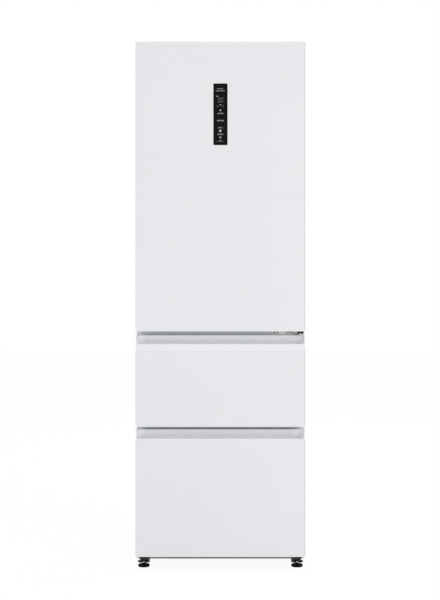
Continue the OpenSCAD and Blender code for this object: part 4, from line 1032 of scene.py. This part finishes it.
wall_margin = 0.04
for name in ("crisper", "chill_drawer"):
    dress(clear_poly, name)
    low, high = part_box(name)
    front = low.y + 0.001
    frame_low = Vector((low.x + 0.014, front, low.z + 0.008))
    frame_high = Vector((high.x - 0.014, front, high.z - 0.018))
    raised = front - 0.0009
    stiff = bmesh.new()
    hoop(stiff, frame_low, frame_high, 0.006,
         [(0.0, front), (0.0008, raised), (0.0052, raised), (0.0060, front)])
    lip_low = Vector((low.x + 0.0125, 0, high.z - 0.0034))
    lip_high = Vector((high.x - 0.0125, 0, high.z - 0.0002))
    hoop(stiff, lip_low, lip_high, 0.001, [(0.0, raised), (0.0, front), (0.0006, front), (0.0006, raised)])
    floor_ribs(stiff, 9, low, high, front_inset=0.012, floor_t=0.0025, width=0.0022)
    for side, wall in ((1, low.x), (-1, high.x)):
        for i in range(6):
            y = low.y + wall_margin + (high.y - low.y - 2 * wall_margin) * i / 5
            ridge(stiff, (wall, y, low.z + 0.014), (wall, y, high.z - 0.006), (-side, 0, 0), 0.0030, 0.0012)
    link_piece(f"{name}_frame", stiff, name, frosted_poly)
    curl = bmesh.new()
    strip = [(low.y - 0.0001 + y, high.z - 0.0108 + z)
             for y, z in round_corners(0.0012, 0.0040, 0.0005, steps=3)]
    strip_along_x(curl, low.x + 0.072, high.x - 0.072, strip)
    link_piece(f"{name}_strip", curl, name, satin_strip, smooth=True)

# Door shelves
# Clear moulded trays that lift off the studs of the door's lining. Each has a frosted rolled rim,
# a round foot and a ribbed floor, and its front rail carries a satin strip.


def tray(shape, low, high, radius, profile, ends="capped"):
    """Runs (inset, height) points round a level rectangle: a dish if capped, a rim if joined."""
    middle = (low + high) / 2
    rings = []
    for inset, z in profile:
        size = high - low - Vector((2 * inset, 2 * inset, 0))
        outline = round_corners(size.x, size.y, max(radius - inset, 0.001))
        rings.append([(middle.x + u, middle.y + v, low.z + z) for u, v in outline])
    loft(shape, rings, ends)


rim_h = 0.011
tray_corner = 0.010
for name in ("upper_door_shelf", "middle_door_shelf", "bottle_shelf"):
    low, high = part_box(name)
    rise = high.z - low.z
    rim_foot = rise - rim_h
    walls = bmesh.new()
    tray(walls, low, high, tray_corner,
         [(0.0060, 0.0), (0.0020, 0.0010), (0.0006, 0.0040), (0.0004, rim_foot + 0.001),
          (0.0032, rim_foot + 0.001), (0.0034, 0.0070), (0.0060, 0.0030)])
    shelf_piece = link_piece(f"{name}_tray", walls, "fridge_door", clear_poly, smooth=True)
    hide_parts(name)
    stiff = bmesh.new()
    tray(stiff, low, high, tray_corner,
         [(0.0, rim_foot), (0.0, rise - 0.0014), (0.0012, rise), (0.0028, rise),
          (0.0040, rise - 0.0014), (0.0040, rim_foot)], ends="joined")
    floor_ribs(stiff, 11, low, high, front_inset=0.008, floor_t=0.0030, width=0.0024)
    link_piece(f"{name}_rim", stiff, "fridge_door", frosted_poly, smooth=True)
    rail = bmesh.new()
    band_z = high.z - rim_h - 0.008
    strip = [(high.y - 0.0006 + y, band_z + z) for y, z in round_corners(0.0012, 0.0090, 0.0005, steps=3)]
    strip_along_x(rail, low.x + 0.014, high.x - 0.014, strip)
    link_piece(f"{name}_strip", rail, "fridge_door", satin_strip, smooth=True)

# Freezer baskets
# Deep tubs moulded in clear polystyrene hang on the runners' carriages by the rails along their
# sides. Upright ribs stiffen the walls, and the rim is frosted where hands take hold of it.

dress(clear_poly, "middle_basket", "lower_basket")
side_rail_reach = 0.011
rim_overhang = 0.0043
flute_h = 0.0014
for name, body in (("middle_basket", "middle_drawer"), ("lower_basket", "lower_drawer")):
    low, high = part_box(name)
    wall = high.x - side_rail_reach
    rim_low = Vector((-wall - rim_overhang, low.y - 0.0003, high.z))
    rim_high = Vector((wall + rim_overhang, high.y + 0.0003, high.z))
    stiff = bmesh.new()
    tray(stiff, rim_low, rim_high, 0.016,
         [(0.0, -0.0045), (0.0, -0.0010), (0.0010, 0.0003), (0.0060, 0.0003),
          (0.0072, -0.0010), (0.0072, -0.0045)], ends="joined")
    link_piece(f"{name}_rim", stiff, body, frosted_poly, smooth=True)
    flutes = bmesh.new()
    floor_z = low.z + 0.0025
    flute_top = high.z - 0.006
    back = high.y - 0.004
    for side in (-1, 1):
        x = side * wall
        for i in range(7):
            y = low.y + 0.035 + i * 0.045
            ridge(flutes, (x, y, low.z + 0.016), (x, y, flute_top), (side, 0, 0), 0.012, flute_h)
    for i in range(9):
        x = (i / 4 - 1) * (wall - 0.03)
        ridge(flutes, (x, low.y + 0.018, floor_z), (x, low.y + 0.26, floor_z), (0, 0, 1), 0.009, flute_h)
        ridge(flutes, (x, back, high.z - 0.10), (x, back, flute_top), (0, 1, 0), 0.012, flute_h)
    link_piece(f"{name}_flutes", flutes, body, clear_poly)

# Runners and carriages
# Ball-bearing runners of cold-rolled steel, bright zinc plated: a fixed outer channel, a middle
# channel and an inner one whose brackets carry the basket.

runner_zinc = plated("runner_zinc", (0.70, 0.71, 0.72), 0.30, streak=(2.5, 0.12, 2.5),
                     spread=0.025, scratch=0.015)
dress(runner_zinc, "cabinet_rails", "middle_runner", "lower_runner", "middle_carriage", "lower_carriage")

# Cooling machinery
# A black-painted compressor on rubber mounts, the condenser coil and drip tray beside and above it,
# and behind the freezer's rear cover the finned aluminium evaporator with its fan.

machine_black = sprayed_paint("machine_black_paint", (0.016, 0.016, 0.018), 0.42, peel=0.4)
dress(machine_black, "compressor", "condenser_coil")
mount_rubber = moulded("mount_rubber", (0.022, 0.022, 0.022), 0.7, texture=0.4, texture_scale=400.0)
dress(mount_rubber, "compressor_mounts", "fan_motor")
fin_aluminium = plated("fin_aluminium", (0.80, 0.81, 0.82), 0.3)
dress(fin_aluminium, "evaporator")
foam_straw = moulded("foam_straw", (0.80, 0.70, 0.42), 0.85, texture=0.6, texture_scale=250.0, gloss=0.1)
dress(foam_straw, "insulation", "door_foam")
